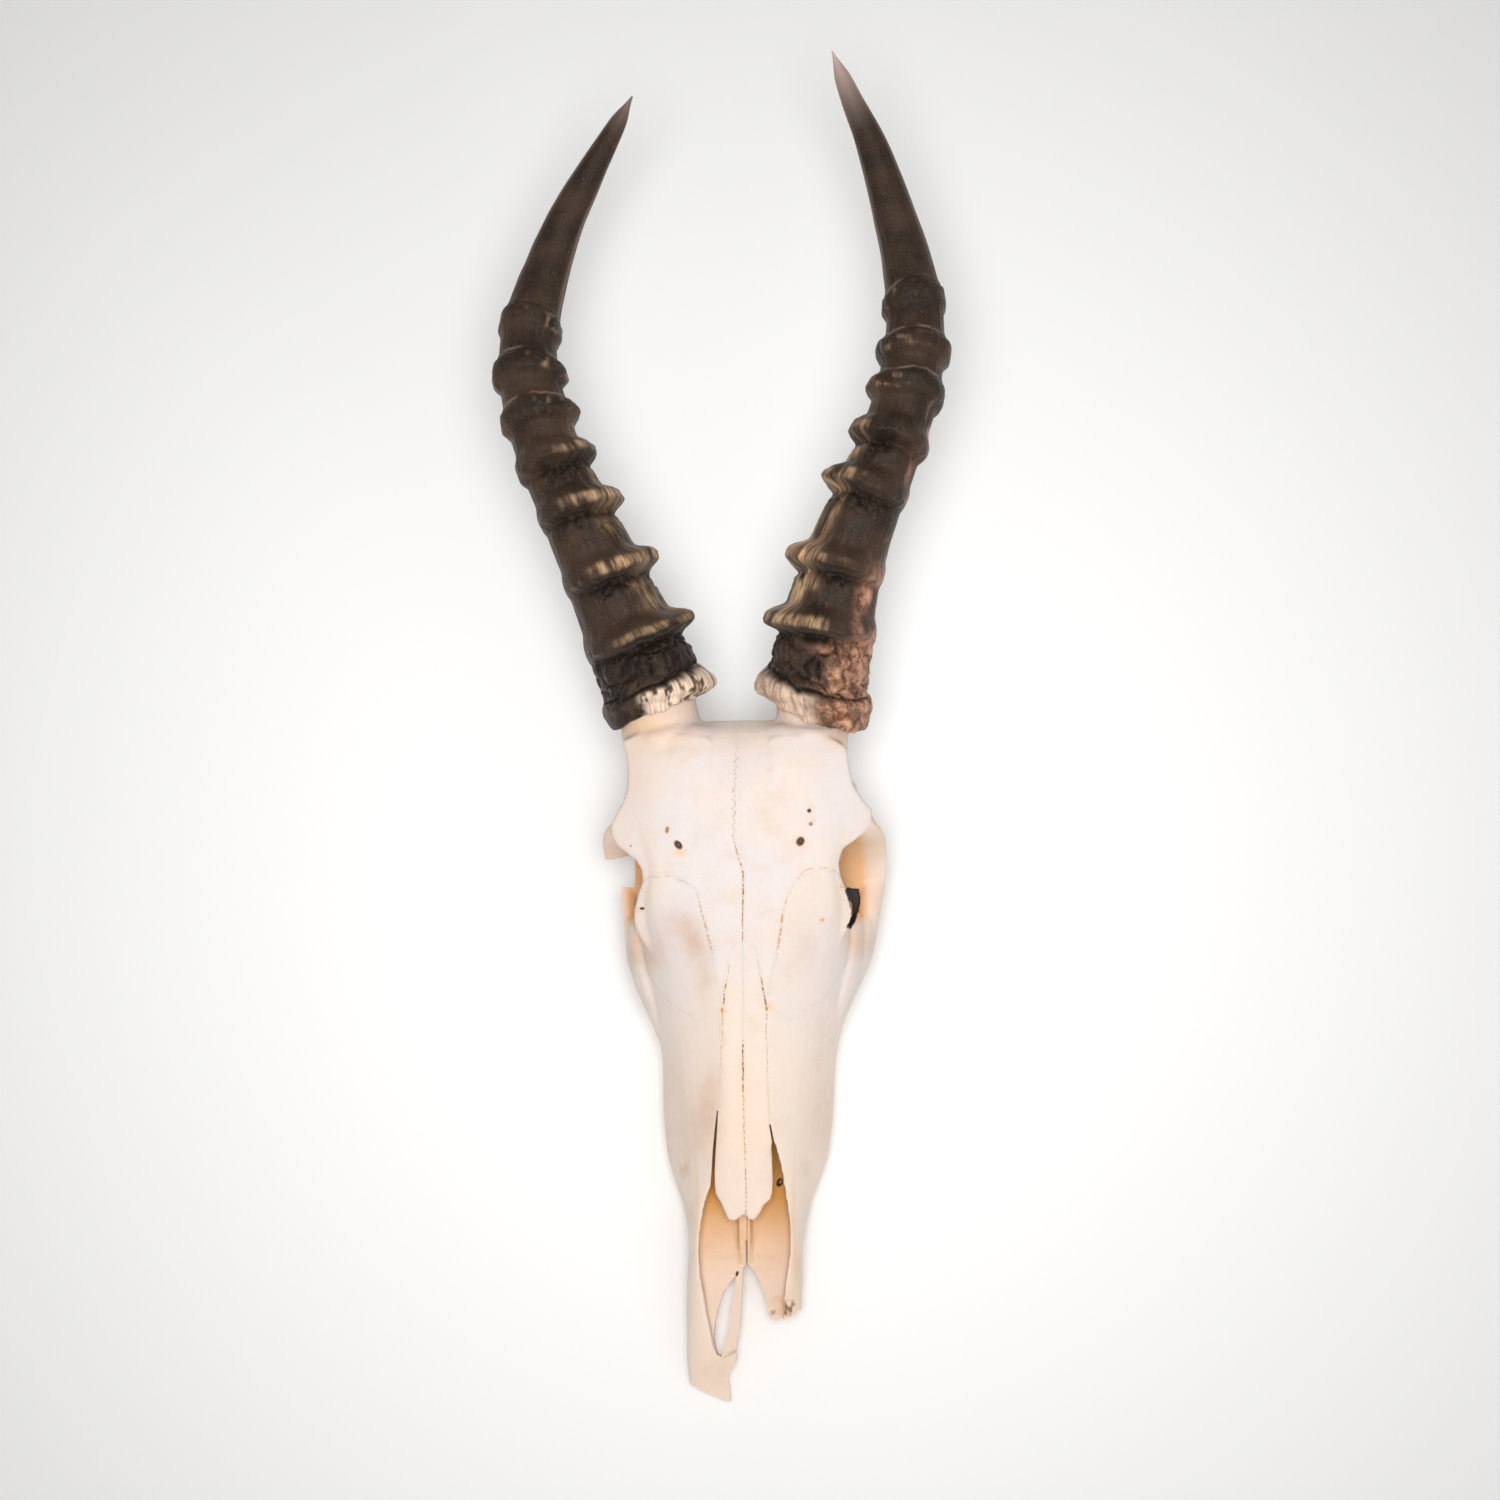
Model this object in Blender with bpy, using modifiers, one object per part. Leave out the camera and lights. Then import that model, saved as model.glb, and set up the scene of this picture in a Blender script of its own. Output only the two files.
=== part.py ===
"""Blesbok skull without its lower jaw, with both horn sheaths, life size.

Sizes are in millimetres in the frame of the face: X to the skull's own left, Y from the
muzzle to the horns, Z out of the forehead. The origin is on the midline between the
orbits. The last step scales to metres and turns the skull so that it rests on its cheek
teeth and the back of its base.
"""

import math

import bmesh
import bpy
import numpy as np
from mathutils import Matrix, Vector

METRES = 0.001
# The gap between two bones, and heights that clear the whole head.
GAP = 0.3
ABOVE_ALL, BELOW_ALL = 60.0, -150.0
VOXEL = 1.25
SKULL_TRIANGLES = 6900
SMOOTH_FACTOR, SMOOTH_TIMES = 0.5, 3
LEFT, RIGHT = 1, -1
NAME = "blesbok_skull"
BONE_COLOUR, BONE_ROUGHNESS = (0.93, 0.83, 0.74), 0.55
HORN_COLOUR, HORN_ROUGHNESS = (0.07, 0.045, 0.035), 0.5
SHARP_EDGE = math.radians(40)

# Sections of the head, front to back: Y, then the right half of the outline from the
# top midline round to the bottom midline as X, Z pairs. The pairs are the roof's
# middle and edge, the upper and lower flank, both edges of the tooth row, the palate.
HEAD_SECTIONS = (
    (-212, (0, -20), (8, -20), (15, -20.5), (20, -22), (18, -24.5), (10, -25), (0, -24.5)),
    (-196, (0, -17.5), (10, -18), (18.5, -18.5), (22.8, -21.5), (21, -26.5), (12, -27), (0, -26.5)),
    (-178, (0, -13), (10, -14), (19.5, -15.8), (23.5, -21.5), (22, -30), (14, -30.5), (0, -29)),
    (-160, (0, -10), (10, -11), (20.3, -14), (23.6, -22), (22.8, -33), (16, -33), (0, -30.5)),
    (-143, (0, -8), (10, -9), (20.3, -13), (23.3, -23), (23, -36.5), (16.5, -36.5), (0, -32.5)),
    (-127, (0, -6.3), (10.5, -7.3), (21, -14), (24.8, -27), (26.2, -41), (17.5, -40.5), (0, -34)),
    (-109, (0, -4.8), (11, -6), (22.5, -15), (30.5, -32), (32, -47), (18.5, -46.5), (0, -39)),
    (-89, (0, -3.5), (11, -4.8), (24, -14.5), (33, -34), (34.3, -53.5), (20, -53), (0, -45.5)),
    (-68, (0, -2.2), (11.5, -3.5), (26, -14), (34, -36), (35, -60), (20.5, -59.5), (0, -52.5)),
    (-50, (0, -1), (12.5, -2.3), (29, -13), (38.5, -35), (37, -64), (21, -65.5), (0, -58.5)),
    (-32, (0, 0), (15, -1), (34, -11.5), (43, -34), (35.5, -66), (20, -66), (0, -62)),
    (-16, (0, 0.8), (20, -0.3), (38, -8.5), (43, -30), (32, -53), (15, -62), (0, -63)),
    (0, (0, 1.5), (25, 0.5), (40, -4.5), (40, -24), (28, -47), (14, -62), (0, -63)),
    (16, (0, 2), (28, 1), (39, -3), (33, -24), (26, -50), (14, -68), (0, -69)),
    (32, (0, 2), (32, 0), (46, -7), (34, -28), (31, -58), (16, -79), (0, -79)),
    (48, (0, 1.2), (30, -0.2), (45, -9), (36, -34), (35, -66), (18, -90), (0, -89)),
    (60, (0, -1.2), (26, -2.2), (42, -14), (36, -40), (35, -72), (18, -95), (0, -95)),
    (69, (0, -5), (16, -6.5), (34, -22), (34, -44), (32, -72), (17, -92), (0, -94)),
    (74, (0, -13), (10, -15), (24, -28), (26, -46), (24, -70), (12, -86), (0, -88)),
)

# Sections of the nasal cavity, in the same way, with five pairs each.
CAVITY_SECTIONS = (
    (-149, (0, -11), (10, -12), (18, -16), (18.5, -26), (0, -27.5)),
    (-130, (0, -9.6), (9.5, -10.6), (18, -16.5), (20, -28), (0, -30)),
    (-110, (0, -8.3), (10, -9.5), (19, -18.5), (23.5, -34), (0, -35.5)),
    (-90, (0, -7), (10.5, -8.3), (20, -18.5), (26, -38), (0, -41.5)),
    (-73, (0, -6.5), (10, -8), (20, -18.5), (24, -38), (0, -46)),
    (-61, (0, -17), (5, -19), (8, -25), (8, -32), (0, -36)),
)

# How far the middle of the head strays sideways, as Y and X: this muzzle is a little bent.
HEAD_BEND = ((-212, -3.4), (-170, -2.6), (-150, -1.9), (-130, -1.2), (-90, -0.4), (-55, 0.4), (-20, 0.4),
             (0, 0.0), (80, 0.0))
# The seam down the middle of the face, from the horns to the muzzle, as X and Y.
MIDLINE = ((-0.9, 120), (-1.6, 72), (-2.0, 54), (-2.5, 45), (-3.0, 31), (-3.1, 25), (-2.1, 20.7),
           (-1.0, 16.7), (0.3, 12.8), (0.7, 7), (0.3, 1.7), (0.2, -2), (0, -7.2), (-0.2, -17.2), (-0.5, -45), (-0.75, -60),
           (-0.85, -88), (-0.6, -108), (-0.4, -122), (-0.9, -131), (-1.0, -155), (-1.0, -230))

# The opening of the nose from above: down the inner edge of the right wall, round the
# front, up the inner edge of the left wall, and round the free ends of the nasals.
RIGHT_WALL_EDGE = ((-15.2, -118), (-16.8, -122), (-18.3, -127), (-19.8, -135), (-20.8, -145), (-20.3, -155),
                   (-19, -163), (-18, -170), (-16.5, -178), (-15.2, -185), (-13, -191))
LEFT_WALL_EDGE = ((14, -176), (14.5, -162), (15.8, -154), (17.2, -146), (17.3, -138), (16.7, -129),
                  (15.5, -121), (14.6, -114), (13.5, -108), (11.6, -100), (9.9, -94))
NASAL_TIPS = ((10.5, -107), (10.8, -117), (10.5, -121), (9.8, -124), (6.8, -126.5), (5.2, -129.5),
              (4, -131), (2.3, -132.8), (0.5, -132), (-1.2, -129.7), (-2.3, -130.4), (-4, -131.9),
              (-6, -133), (-8, -132), (-9.8, -128), (-11, -125), (-13.1, -121.5), (-13.6, -117))
# The narrow slit between the right nasal and the wall beside it.
RIGHT_SLIT = ((-11.5, -87), (-12.2, -97), (-12.7, -103), (-13.3, -112), (-13.3, -121), (-15.4, -119),
              (-14.7, -112), (-14, -103), (-13.3, -97), (-12, -87))
# The slit beside the left nasal.
LEFT_SLIT = ((9.5, -93), (10.5, -100), (10.7, -106), (10.6, -113), (13.4, -113), (12.6, -106), (11.3, -99),
             (10.2, -93))

# The floor of the nose and the palate in front of it, as Y and Z of the upper face.
NOSE_FLOOR = ((-212, -19), (-195, -20.5), (-180, -22.3), (-161, -25.3), (-130, -30), (-90, -41))

# The long hole between the right premaxilla's two arms.
RIGHT_FISSURE = ((-6, -156.5), (-8.5, -159), (-10.5, -161.8), (-12.3, -166), (-13.7, -170.5),
                 (-14.8, -176), (-15.2, -181), (-14.8, -185), (-13.8, -188.5), (-12.2, -189.3),
                 (-11.5, -187), (-10, -182), (-8.6, -177), (-8, -172.5), (-8.2, -170.5), (-7, -166),
                 (-6.2, -160))
# What is missing between the premaxillae and off the broken left one, from above.
BROKEN_FRONT = ((-1, -151.5), (-2.6, -152.5), (-3, -155), (-3.6, -165), (-4.2, -175), (-4.8, -180),
                (-5.5, -183), (-5.7, -187), (-6.1, -191), (-7.3, -193.5), (-9.2, -196), (-9.6, -199),
                (-9, -203), (-8.8, -207), (-8.8, -225), (40, -225), (40, -170), (19.7, -170.4),
                (17, -173), (14.5, -174), (12.7, -173.4), (10.5, -174.9), (8.3, -174.4),
                (7.2, -171), (6.5, -166), (5.3, -162), (4, -158.5), (2, -155), (0.2, -152.5))
# What the broken front of the right premaxilla lacks, from above.
RIGHT_FRONT_CORNER = ((-28.3, -190), (-26.8, -192.5), (-26.2, -197.5), (-25, -200.9), (-20, -203.6),
                      (-14, -206), (-12, -207.3), (-8.8, -208), (-6, -208), (-6, -225),
                      (-40, -225), (-40, -190))

# The brow from above, with the process behind the orbit, and the dome of the forehead.
BROW = {
    LEFT: ((12, 67), (28, 68), (38, 66), (43.4, 63), (44.4, 59), (45, 53), (46.5, 46.8), (50.5, 40.5), (54.3, 36),
           (53.4, 32.5), (50.5, 27), (46, 23.6), (41.5, 20.5), (39.9, 14.5), (40.6, 9), (42.6, 4),
           (44, -1), (45.4, -6), (42, -20), (20, -24)),
    RIGHT: ((-12, 67), (-30, 69), (-43, 69), (-49.4, 66.5), (-48.6, 64), (-47.5, 60), (-47, 54), (-47.2, 47),
            (-48.6, 42), (-52, 36), (-54.2, 32), (-54, 27.5), (-51.5, 22.8), (-46.8, 19.4),
            (-43.5, 16.5), (-41.5, 12.5), (-41.4, 8), (-43.6, 2), (-45.2, -4), (-45.4, -9), (-42, -20), (-20, -24)),
}
BROW_TOP, BROW_THICK, DOME_EDGE, DOME_FALL = 1.5, 7.0, 12.0, 0.0045
# How closely a plate is sliced, across and along, before it is bent.
SLICE_ACROSS, SLICE_ALONG = 3.0, 6.0
# In front of this Y the brow dips towards the lacrimal, so much to a millimetre.
DIP_START, DIP_SLOPE = 12.0, 0.3
# Behind this Y it falls away to the stumps of the horns, by the square of the distance.
FALL_START, FALL_RATE = 46.0, 0.0078

# Bars of the cheek: X, Y, Z of the middle, then half the width and half the height.
CHEEK_BAR = ((35.5, -50, -56, 4.5, 6), (41.2, -37, -54, 5, 8.5), (46.8, -23, -52, 5.5, 10),
             (50.2, -8, -53, 5.2, 7.5), (52, 4, -57, 5.4, 5.5), (53, 16, -60, 4.8, 5.5),
             (51.5, 26, -61, 4.4, 5.5), (47.5, 35, -62, 4, 5.5), (42.5, 43, -62.5, 4, 5.3),
             (38.5, 50, -63, 4, 5), (32, 58, -62, 6, 5))
# The right cheek has lost a stretch of its bar, and the outer edge of the rest.
CHEEK_BREAK = ((-75, 6.5), (-46.8, 5), (-46.2, 11), (-46, 19.5), (-56, 17), (-75, 18))
CHEEK_EDGE = ((-40.5, -50), (-44.5, -38), (-48.4, -30), (-50, -24), (-50.7, -12), (-51.8, -4),
              (-52.3, 8), (-54, 12), (-90, 12), (-90, -50))
REAR_ORBIT_BAR = ((47.3, 31.5, -7, 3.8, 6.4), (48.3, 28, -18, 4, 9.2), (48, 24, -34, 4, 11),
                  (47.5, 17, -48, 4, 11.5), (48, 6, -57, 4, 10), (46, -8, -62, 3.6, 8), (44, -18, -63, 3.6, 7))
FRONT_ORBIT_RIM = ((37, 2, -9, 3, 3), (39.5, -7, -16, 3, 3.4), (41.5, -11.5, -27, 3.2, 3.6),
                   (44, -13.5, -41, 3.6, 4), (47, -10, -53, 4, 4))
# The dark gap between the left lacrimal and the cheek.
CHEEK_GAP = ((42, 3.6), (46.5, 3), (47.2, -1), (46.6, -5), (45.4, -10), (43.8, -12.7), (41.5, -10.5),
             (41.3, -8.5), (43, -7), (44.6, -4.5), (44, -2), (41.3, 0))
# Outlines from above that are cut away, with the lowest and highest Z of each cut.
BREAKS = (
    (CHEEK_BREAK, -80, -34), (CHEEK_EDGE, -80, -34), (CHEEK_GAP, -58, -10), (RIGHT_SLIT, -16, 30),
    (LEFT_SLIT, -16, 30), (RIGHT_FISSURE, -60, 30), (BROKEN_FRONT, -60, 30), (RIGHT_FRONT_CORNER, -60, 30),
)
ORBIT_CENTRE, ORBIT_RADII = (54, 12, -32), (29, 23.5, 25)
TEMPLE_CENTRE, TEMPLE_RADII = (54, 52, -36), (18, 17, 22)

# Small holes of the forehead: X, Y, radius and depth. Each narrows downwards, from the wide
# share of its radius to the narrow one.
FORAMINA = ((-26.2, 23.2, 1.7, 4), (-30.7, 29.5, 0.9, 2.5), (24.4, 23.9, 1.8, 4), (28.2, 36.5, 0.9, 2.5),
            (28.8, 31, 0.9, 2.5))
FORAMEN_NARROW, FORAMEN_WIDE, FORAMEN_SIDES = 0.5, 1.5, 10
VOMER_MIDDLE, VOMER_SPREAD = -1.9, 2.5
# The vomer's two blades and its foot, as Y, Z, half the width and half the height.
VOMER_BLADE = ((-66, -30, 1.4, 15), (-90, -29, 1.4, 14), (-120, -27, 1.3, 8), (-136, -27, 1.3, 5),
               (-151, -28, 1.2, 2))
VOMER_FOOT = ((-66, -48, 3.5, 4), (-100, -38.5, 3.5, 3), (-151, -27.5, 3, 2))

# Bars of the back of the skull, on each side, as stations of X, Y, Z, half the width and half
# the height. The upright ones have their widths along the skull.
REAR_BARS = {
    "condyle": ((9, 56, -90, 7, 9), (14, 62, -97, 8.5, 11), (17, 57, -93, 6, 9)),
    "ear": ((24, 50, -74, 5, 5), (33, 53, -75, 5, 5), (38.5, 54, -75, 4.5, 4.5)),
    "crest": ((0, 70, -50, 3.5, 4), (18, 69, -52, 3.5, 4), (32, 64, -58, 3.5, 4), (38, 56, -64, 3, 4)),
}
REAR_UPRIGHTS = {
    "paracondylar": ((30, 62, -76, 4, 7), (28, 57, -92, 3.5, 5.5), (25.5, 51, -108, 2.4, 3)),
    "mastoid": ((37, 58, -60, 4, 5), (36, 62, -72, 4.5, 5), (31, 63, -84, 4, 5)),
}
# Rounded forms on each side: the middle and the half sizes.
BULLA = ((20, 42, -86), (7.5, 12, 10))
JAW_JOINT = ((38, 44, -62), (9, 7, 5))
THROAT_SIDE = ((27, -4, -64), (10, 26, 15))
CHOANA = ((0, -12, -60), (9.5, 26, 13))
SKULL_BASE = ((0, 55, -92, 13, 5), (0, 36, -86, 11, 6), (0, 10, -70, 9, 6))
BRAIN_OPENING = ((0, 58, -83, 8, 7), (0, 68, -86, 9.5, 8), (0, 82, -89, 11, 10))
PTERYGOID = ((14, -34, -60, 2, 7), (12.5, -16, -64, 1.6, 9), (12, 4, -70, 1.6, 7), (12, 16, -76, 2, 3))

# The cheek teeth from front to back: length, width, and X, Y of the crown's middle.
TEETH = ((8, 7.5, 22.5, -121.5), (10, 9.5, 24.5, -112.5), (11.5, 11.5, 26, -102),
         (15.5, 13.5, 27.3, -88.7), (18, 14.5, 28, -72), (19.5, 14, 28, -53.2))
BITE_FRONT, BITE_BACK = (-128, -52), (-41, -80)
CROWN_HEIGHT, ROOT_DEPTH = 12.5, 9.0
# From this length a tooth has two pillars. A pillar's half length is this share of its room.
TWO_PILLARS_FROM, PILLAR_SHARE, PILLAR_SIDES, CROWN_TAPER = 9.0, 0.54, 12, 0.94

# Horns: the line of the axis from above as X, Y pairs, for each side.
HORN_LINE = {
    RIGHT: ((-34.5, 77), (-37.4, 91.5), (-47.5, 116.5), (-58.2, 141.5), (-69, 166), (-79.3, 191),
            (-85.6, 217), (-85, 238), (-79.3, 259), (-71, 281), (-60.5, 301), (-48.8, 321), (-41.4, 333.6)),
    LEFT: ((31.9, 77), (32.2, 91), (37, 115), (43.8, 139.5), (53.8, 164.5), (64.2, 189), (72, 213),
           (74.7, 238.5), (71.5, 263), (65, 288), (57.4, 312.5), (49.5, 331), (41.8, 350.9)),
}
HORN_BASE_Z = -22.0
# How far the horn leans out of the face's plane, in degrees, along its length.
HORN_LEAN = ((0, 12), (0.25, 6), (0.6, -13), (0.8, -2), (1, 16))
# Half the thickness of the horn between its rings, along its length.
HORN_RADII = ((0, 21.6), (0.08, 20.7), (0.17, 18), (0.28, 15.5), (0.37, 14), (0.5, 13),
              (0.58, 12), (0.65, 10.9), (0.76, 8.6), (0.84, 6.9), (0.91, 5), (0.96, 3.7), (1, 1.2))
# Rings of the horn: their places along it, then how far each crest stands out on the side
# next to the other horn, in front, on the outer side and behind.
RING_PLACES = {
    RIGHT: (0.024, 0.125, 0.228, 0.333, 0.41, 0.478, 0.545, 0.617),
    LEFT: (0.028, 0.128, 0.217, 0.335, 0.412, 0.482, 0.542, 0.615),
}
RING_CRESTS = ((4, 3, 1.2, 2), (7, 5.5, 1.2, 1), (7, 5.5, 1, 1), (6.2, 5, 1.2, 1), (5, 4.4, 2.4, 1.2),
               (4, 3.8, 2.6, 1.6), (3.4, 3.2, 3.2, 1.8), (2, 2.2, 1.8, 1.6))
RING_WIDTH, RING_RISE, RING_DROP, RING_POWER = 4.5, 3.4, 2.0, 2.4
# Where a horn's cross sections stand on each ring, in millimetres from its crest.
RING_STEPS = (-7.5, -4, -1.5, 1.5, 4, 7.5)
HORN_SIDES = 20
# The first station above the base, then those of the smooth end: from, to and how many.
FIRST_STATION, TIP_STATIONS = 0.004, (0.67, 0.99, 8)
# How finely a horn's line is walked, and how far its direction is measured either way.
AXIS_STEPS, AXIS_REACH = 400, 4
# The stump of each horn: X, Y, Z of the middle, then half the width and half the height.
PEDICEL = {
    RIGHT: ((-27, 40, -17, 19, 13), (-29.5, 55, -21, 18, 18.5), (-32.5, 67, -22.6, 17, 19.6)),
    LEFT: ((25.5, 40, -17, 18, 13), (27, 55, -21, 16.6, 18.5), (29, 67, -22.6, 15.2, 19.6)),
}
# How far the stump's end stands off the horn's axis towards the midline, and its radius.
STUMP_END = {RIGHT: (0.0, 16.4), LEFT: (2.4, 15.0)}
STUMP_LEAD, STUMP_SIDES = 2.0, 24
SOCKET_DEPTH, SOCKET_ROOM = 11.0, 1.0
# How far the sheath's rim rises all round, then more on its inner and on its front side,
# and over what share of the horn this fades.
RIM = {RIGHT: (1.5, 4.5, 3.5), LEFT: (1.0, 7.0, -2.0)}
RIM_LENGTH = 0.12


def mixed(table, at):
    """The value that a table of place and value rows has at a place, smoothly joined."""
    places, values = zip(*table)
    for i in range(len(places) - 1):
        if at <= places[i + 1] or i == len(places) - 2:
            t = (at - places[i]) / (places[i + 1] - places[i])
            t = min(max(t, 0.0), 1.0)
            before = values[max(i - 1, 0)]
            after = values[min(i + 2, len(values) - 1)]
            a, b = values[i], values[i + 1]
            return 0.5 * (
                2 * a + (b - before) * t
                + (2 * before - 5 * a + 4 * b - after) * t**2
                + (3 * a - before - 3 * b + after) * t**3
            )
    return values[-1]


def curve(rows, steps, closed=False):
    """Points of a smooth curve through rows of numbers, with so many steps to a span."""
    rows = np.asarray(rows, float)
    if closed:
        ends = np.vstack([rows[-1:], rows, rows[:2]])
    else:
        ends = np.vstack([2 * rows[0] - rows[1], rows, 2 * rows[-1] - rows[-2]])
    t = (np.arange(steps) / steps)[:, None]
    spans = [
        0.5 * (2 * b + (c - a) * t + (2 * a - 5 * b + 4 * c - d) * t**2 + (3 * b - a - 3 * c + d) * t**3)
        for a, b, c, d in zip(ends, ends[1:], ends[2:], ends[3:])
    ]
    return np.vstack(spans if closed else spans + [rows[-1:]])


def new_object(name, mesh_or_bm):
    """An object in the scene, from a mesh or a bmesh with its faces turned outwards."""
    mesh = mesh_or_bm
    if isinstance(mesh, bmesh.types.BMesh):
        bmesh.ops.recalc_face_normals(mesh_or_bm, faces=mesh_or_bm.faces)
        if mesh_or_bm.calc_volume(signed=True) < 0:
            bmesh.ops.reverse_faces(mesh_or_bm, faces=mesh_or_bm.faces)
        mesh = bpy.data.meshes.new(name)
        mesh_or_bm.to_mesh(mesh)
        mesh_or_bm.free()
    made = bpy.data.objects.new(name, mesh)
    bpy.context.scene.collection.objects.link(made)
    return made


def remove(made):
    mesh = made.data
    bpy.data.objects.remove(made)
    bpy.data.meshes.remove(mesh)


def skin(name, rings):
    """A closed skin over rings of points, each with the same number, a multiple of four."""
    count, last = len(rings[0]), len(rings) - 1
    bm = bmesh.new()
    bmesh.ops.create_cone(bm, cap_ends=True, segments=count, radius1=1, radius2=1, depth=last)
    sides = [e for e in bm.edges if abs(e.verts[0].co.z - e.verts[1].co.z) > 0.5]
    bmesh.ops.subdivide_edges(bm, edges=sides, cuts=last - 1)
    for vert in bm.verts:
        ring = round(vert.co.z + last / 2)
        turn = round(math.atan2(vert.co.y, vert.co.x) / math.tau * count) % count
        vert.co = rings[ring][turn]
    bmesh.ops.poke(bm, faces=[f for f in bm.faces if len(f.verts) > 4])
    return new_object(name, bm)


def bend(y):
    return float(np.interp(y, *zip(*HEAD_BEND)))


def section_loft(name, sections, steps_along=3, steps_round=4):
    """A closed skin over sections given by one half of their outlines."""
    table = []
    for y, *half in sections:
        whole = half + [(-x, z) for x, z in half[-2:0:-1]]
        table.append([y] + [value for pair in whole for value in pair])
    rings = []
    for row in curve(table, steps_along):
        outline = curve(row[1:].reshape(-1, 2), steps_round, closed=True)
        rings.append([(x + bend(row[0]), row[0], z) for x, z in outline])
    return skin(name, rings)


def bar(name, stations, side=LEFT, up=(0, 0, 1), steps=4, round_count=16):
    """A bent bar through stations of X, Y, Z, half its width and half its height."""
    rows = curve(stations, steps) * (side, 1, 1, 1, 1)
    rings = []
    for i, row in enumerate(rows):
        along = Vector(rows[min(i + 1, len(rows) - 1)][:3] - rows[max(i - 1, 0)][:3]).normalized()
        across = along.cross(Vector(up)).normalized()
        over = across.cross(along)
        middle = Vector(row[:3])
        turns = [math.tau * k / round_count for k in range(round_count)]
        rings.append([middle + across * row[3] * math.cos(a) + over * row[4] * math.sin(a) for a in turns])
    return skin(name, rings)


def ball(name, centre, radii, side=LEFT):
    """An ellipsoid, on the left or the right."""
    bm = bmesh.new()
    place = Matrix.Translation((centre[0] * side, centre[1], centre[2])) @ Matrix.Diagonal((*radii, 1))
    bmesh.ops.create_uvsphere(bm, u_segments=24, v_segments=16, radius=1, matrix=place)
    return new_object(name, bm)


def upright(name, outline, low, high):
    """A prism on an outline of X, Y points."""
    bm = bmesh.new()
    face = bm.faces.new([bm.verts.new((x, y, low)) for x, y in outline])
    top = bmesh.ops.extrude_face_region(bm, geom=[face])["geom"]
    bmesh.ops.translate(bm, vec=(0, 0, high - low), verts=[v for v in top if isinstance(v, bmesh.types.BMVert)])
    return new_object(name, bm)


def sideways(name, outline, low, high):
    """A prism on an outline of Y, Z points, from one X to another."""
    bm = bmesh.new()
    face = bm.faces.new([bm.verts.new((low, y, z)) for y, z in outline])
    far = bmesh.ops.extrude_face_region(bm, geom=[face])["geom"]
    bmesh.ops.translate(bm, vec=(high - low, 0, 0), verts=[v for v in far if isinstance(v, bmesh.types.BMVert)])
    return new_object(name, bm)


def sliced(made, axis, spacing):
    """Adds rows of vertices across a prism, so that it can be bent."""
    bm = bmesh.new()
    bm.from_mesh(made.data)
    places = [v.co[axis] for v in bm.verts]
    at = min(places) + spacing
    normal = [0, 0, 0]
    normal[axis] = 1
    while at < max(places) - spacing / 2:
        point = [0, 0, 0]
        point[axis] = at
        geometry = bm.verts[:] + bm.edges[:] + bm.faces[:]
        bmesh.ops.bisect_plane(bm, geom=geometry, plane_co=point, plane_no=normal)
        at += spacing
    bmesh.ops.triangulate(bm, faces=bm.faces)
    bm.to_mesh(made.data)
    bm.free()


def applied(made, kind, **settings):
    """Gives an object a modifier and makes its result the object's own mesh."""
    modifier = made.modifiers.new(kind.lower(), kind)
    for key, value in settings.items():
        setattr(modifier, key, value)
    graph = bpy.context.evaluated_depsgraph_get()
    old = made.data
    made.data = bpy.data.meshes.new_from_object(made.evaluated_get(graph))
    made.modifiers.clear()
    bpy.data.meshes.remove(old)


def combine(target, other, operation):
    applied(target, "BOOLEAN", operation=operation, object=other, solver="MANIFOLD")
    remove(other)


def merged(name, forms, voxel):
    """One smooth closed skin round overlapping forms."""
    bm = bmesh.new()
    for form in forms:
        bm.from_mesh(form.data)
    for form in forms:
        remove(form)
    mesh = bpy.data.meshes.new(name)
    bm.to_mesh(mesh)
    bm.free()
    whole = new_object(name, mesh)
    applied(whole, "REMESH", mode="VOXEL", voxel_size=voxel)
    return whole


def keep_largest(made):
    """Leaves only the largest closed surface of an object."""
    bm = bmesh.new()
    bm.from_mesh(made.data)
    left, pieces = set(bm.faces), []
    while left:
        piece, edge_of = set(), [left.pop()]
        while edge_of:
            face = edge_of.pop()
            piece.add(face)
            near = {f for e in face.edges for f in e.link_faces} & left
            left -= near
            edge_of.extend(near)
        pieces.append(piece)
    pieces.sort(key=lambda faces: sum(f.calc_area() for f in faces))
    scraps = [face for piece in pieces[:-1] for face in piece]
    bmesh.ops.delete(bm, geom=scraps, context="FACES")
    bm.to_mesh(made.data)
    bm.free()


def floor_z(y):
    return float(np.interp(y, *zip(*NOSE_FLOOR)))


def brow_plate(side):
    """The roof of the orbit, domed, with its edge and the process behind the orbit."""
    plate = upright("brow", BROW[side], -BROW_THICK, 0)
    sliced(plate, 0, SLICE_ACROSS)
    sliced(plate, 1, SLICE_ALONG)
    for vert in plate.data.vertices:
        reach = max(abs(vert.co.x) - DOME_EDGE, 0)
        vert.co.z += BROW_TOP - DOME_FALL * reach**2 - DIP_SLOPE * max(DIP_START - vert.co.y, 0)
        vert.co.z -= FALL_RATE * max(vert.co.y - FALL_START, 0) ** 2
    return plate


def bite_z(y):
    """Height of the plane in which the cheek teeth bite."""
    (y0, z0), (y1, z1) = BITE_FRONT, BITE_BACK
    return z0 + (z1 - z0) * (y - y0) / (y1 - y0)


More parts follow.
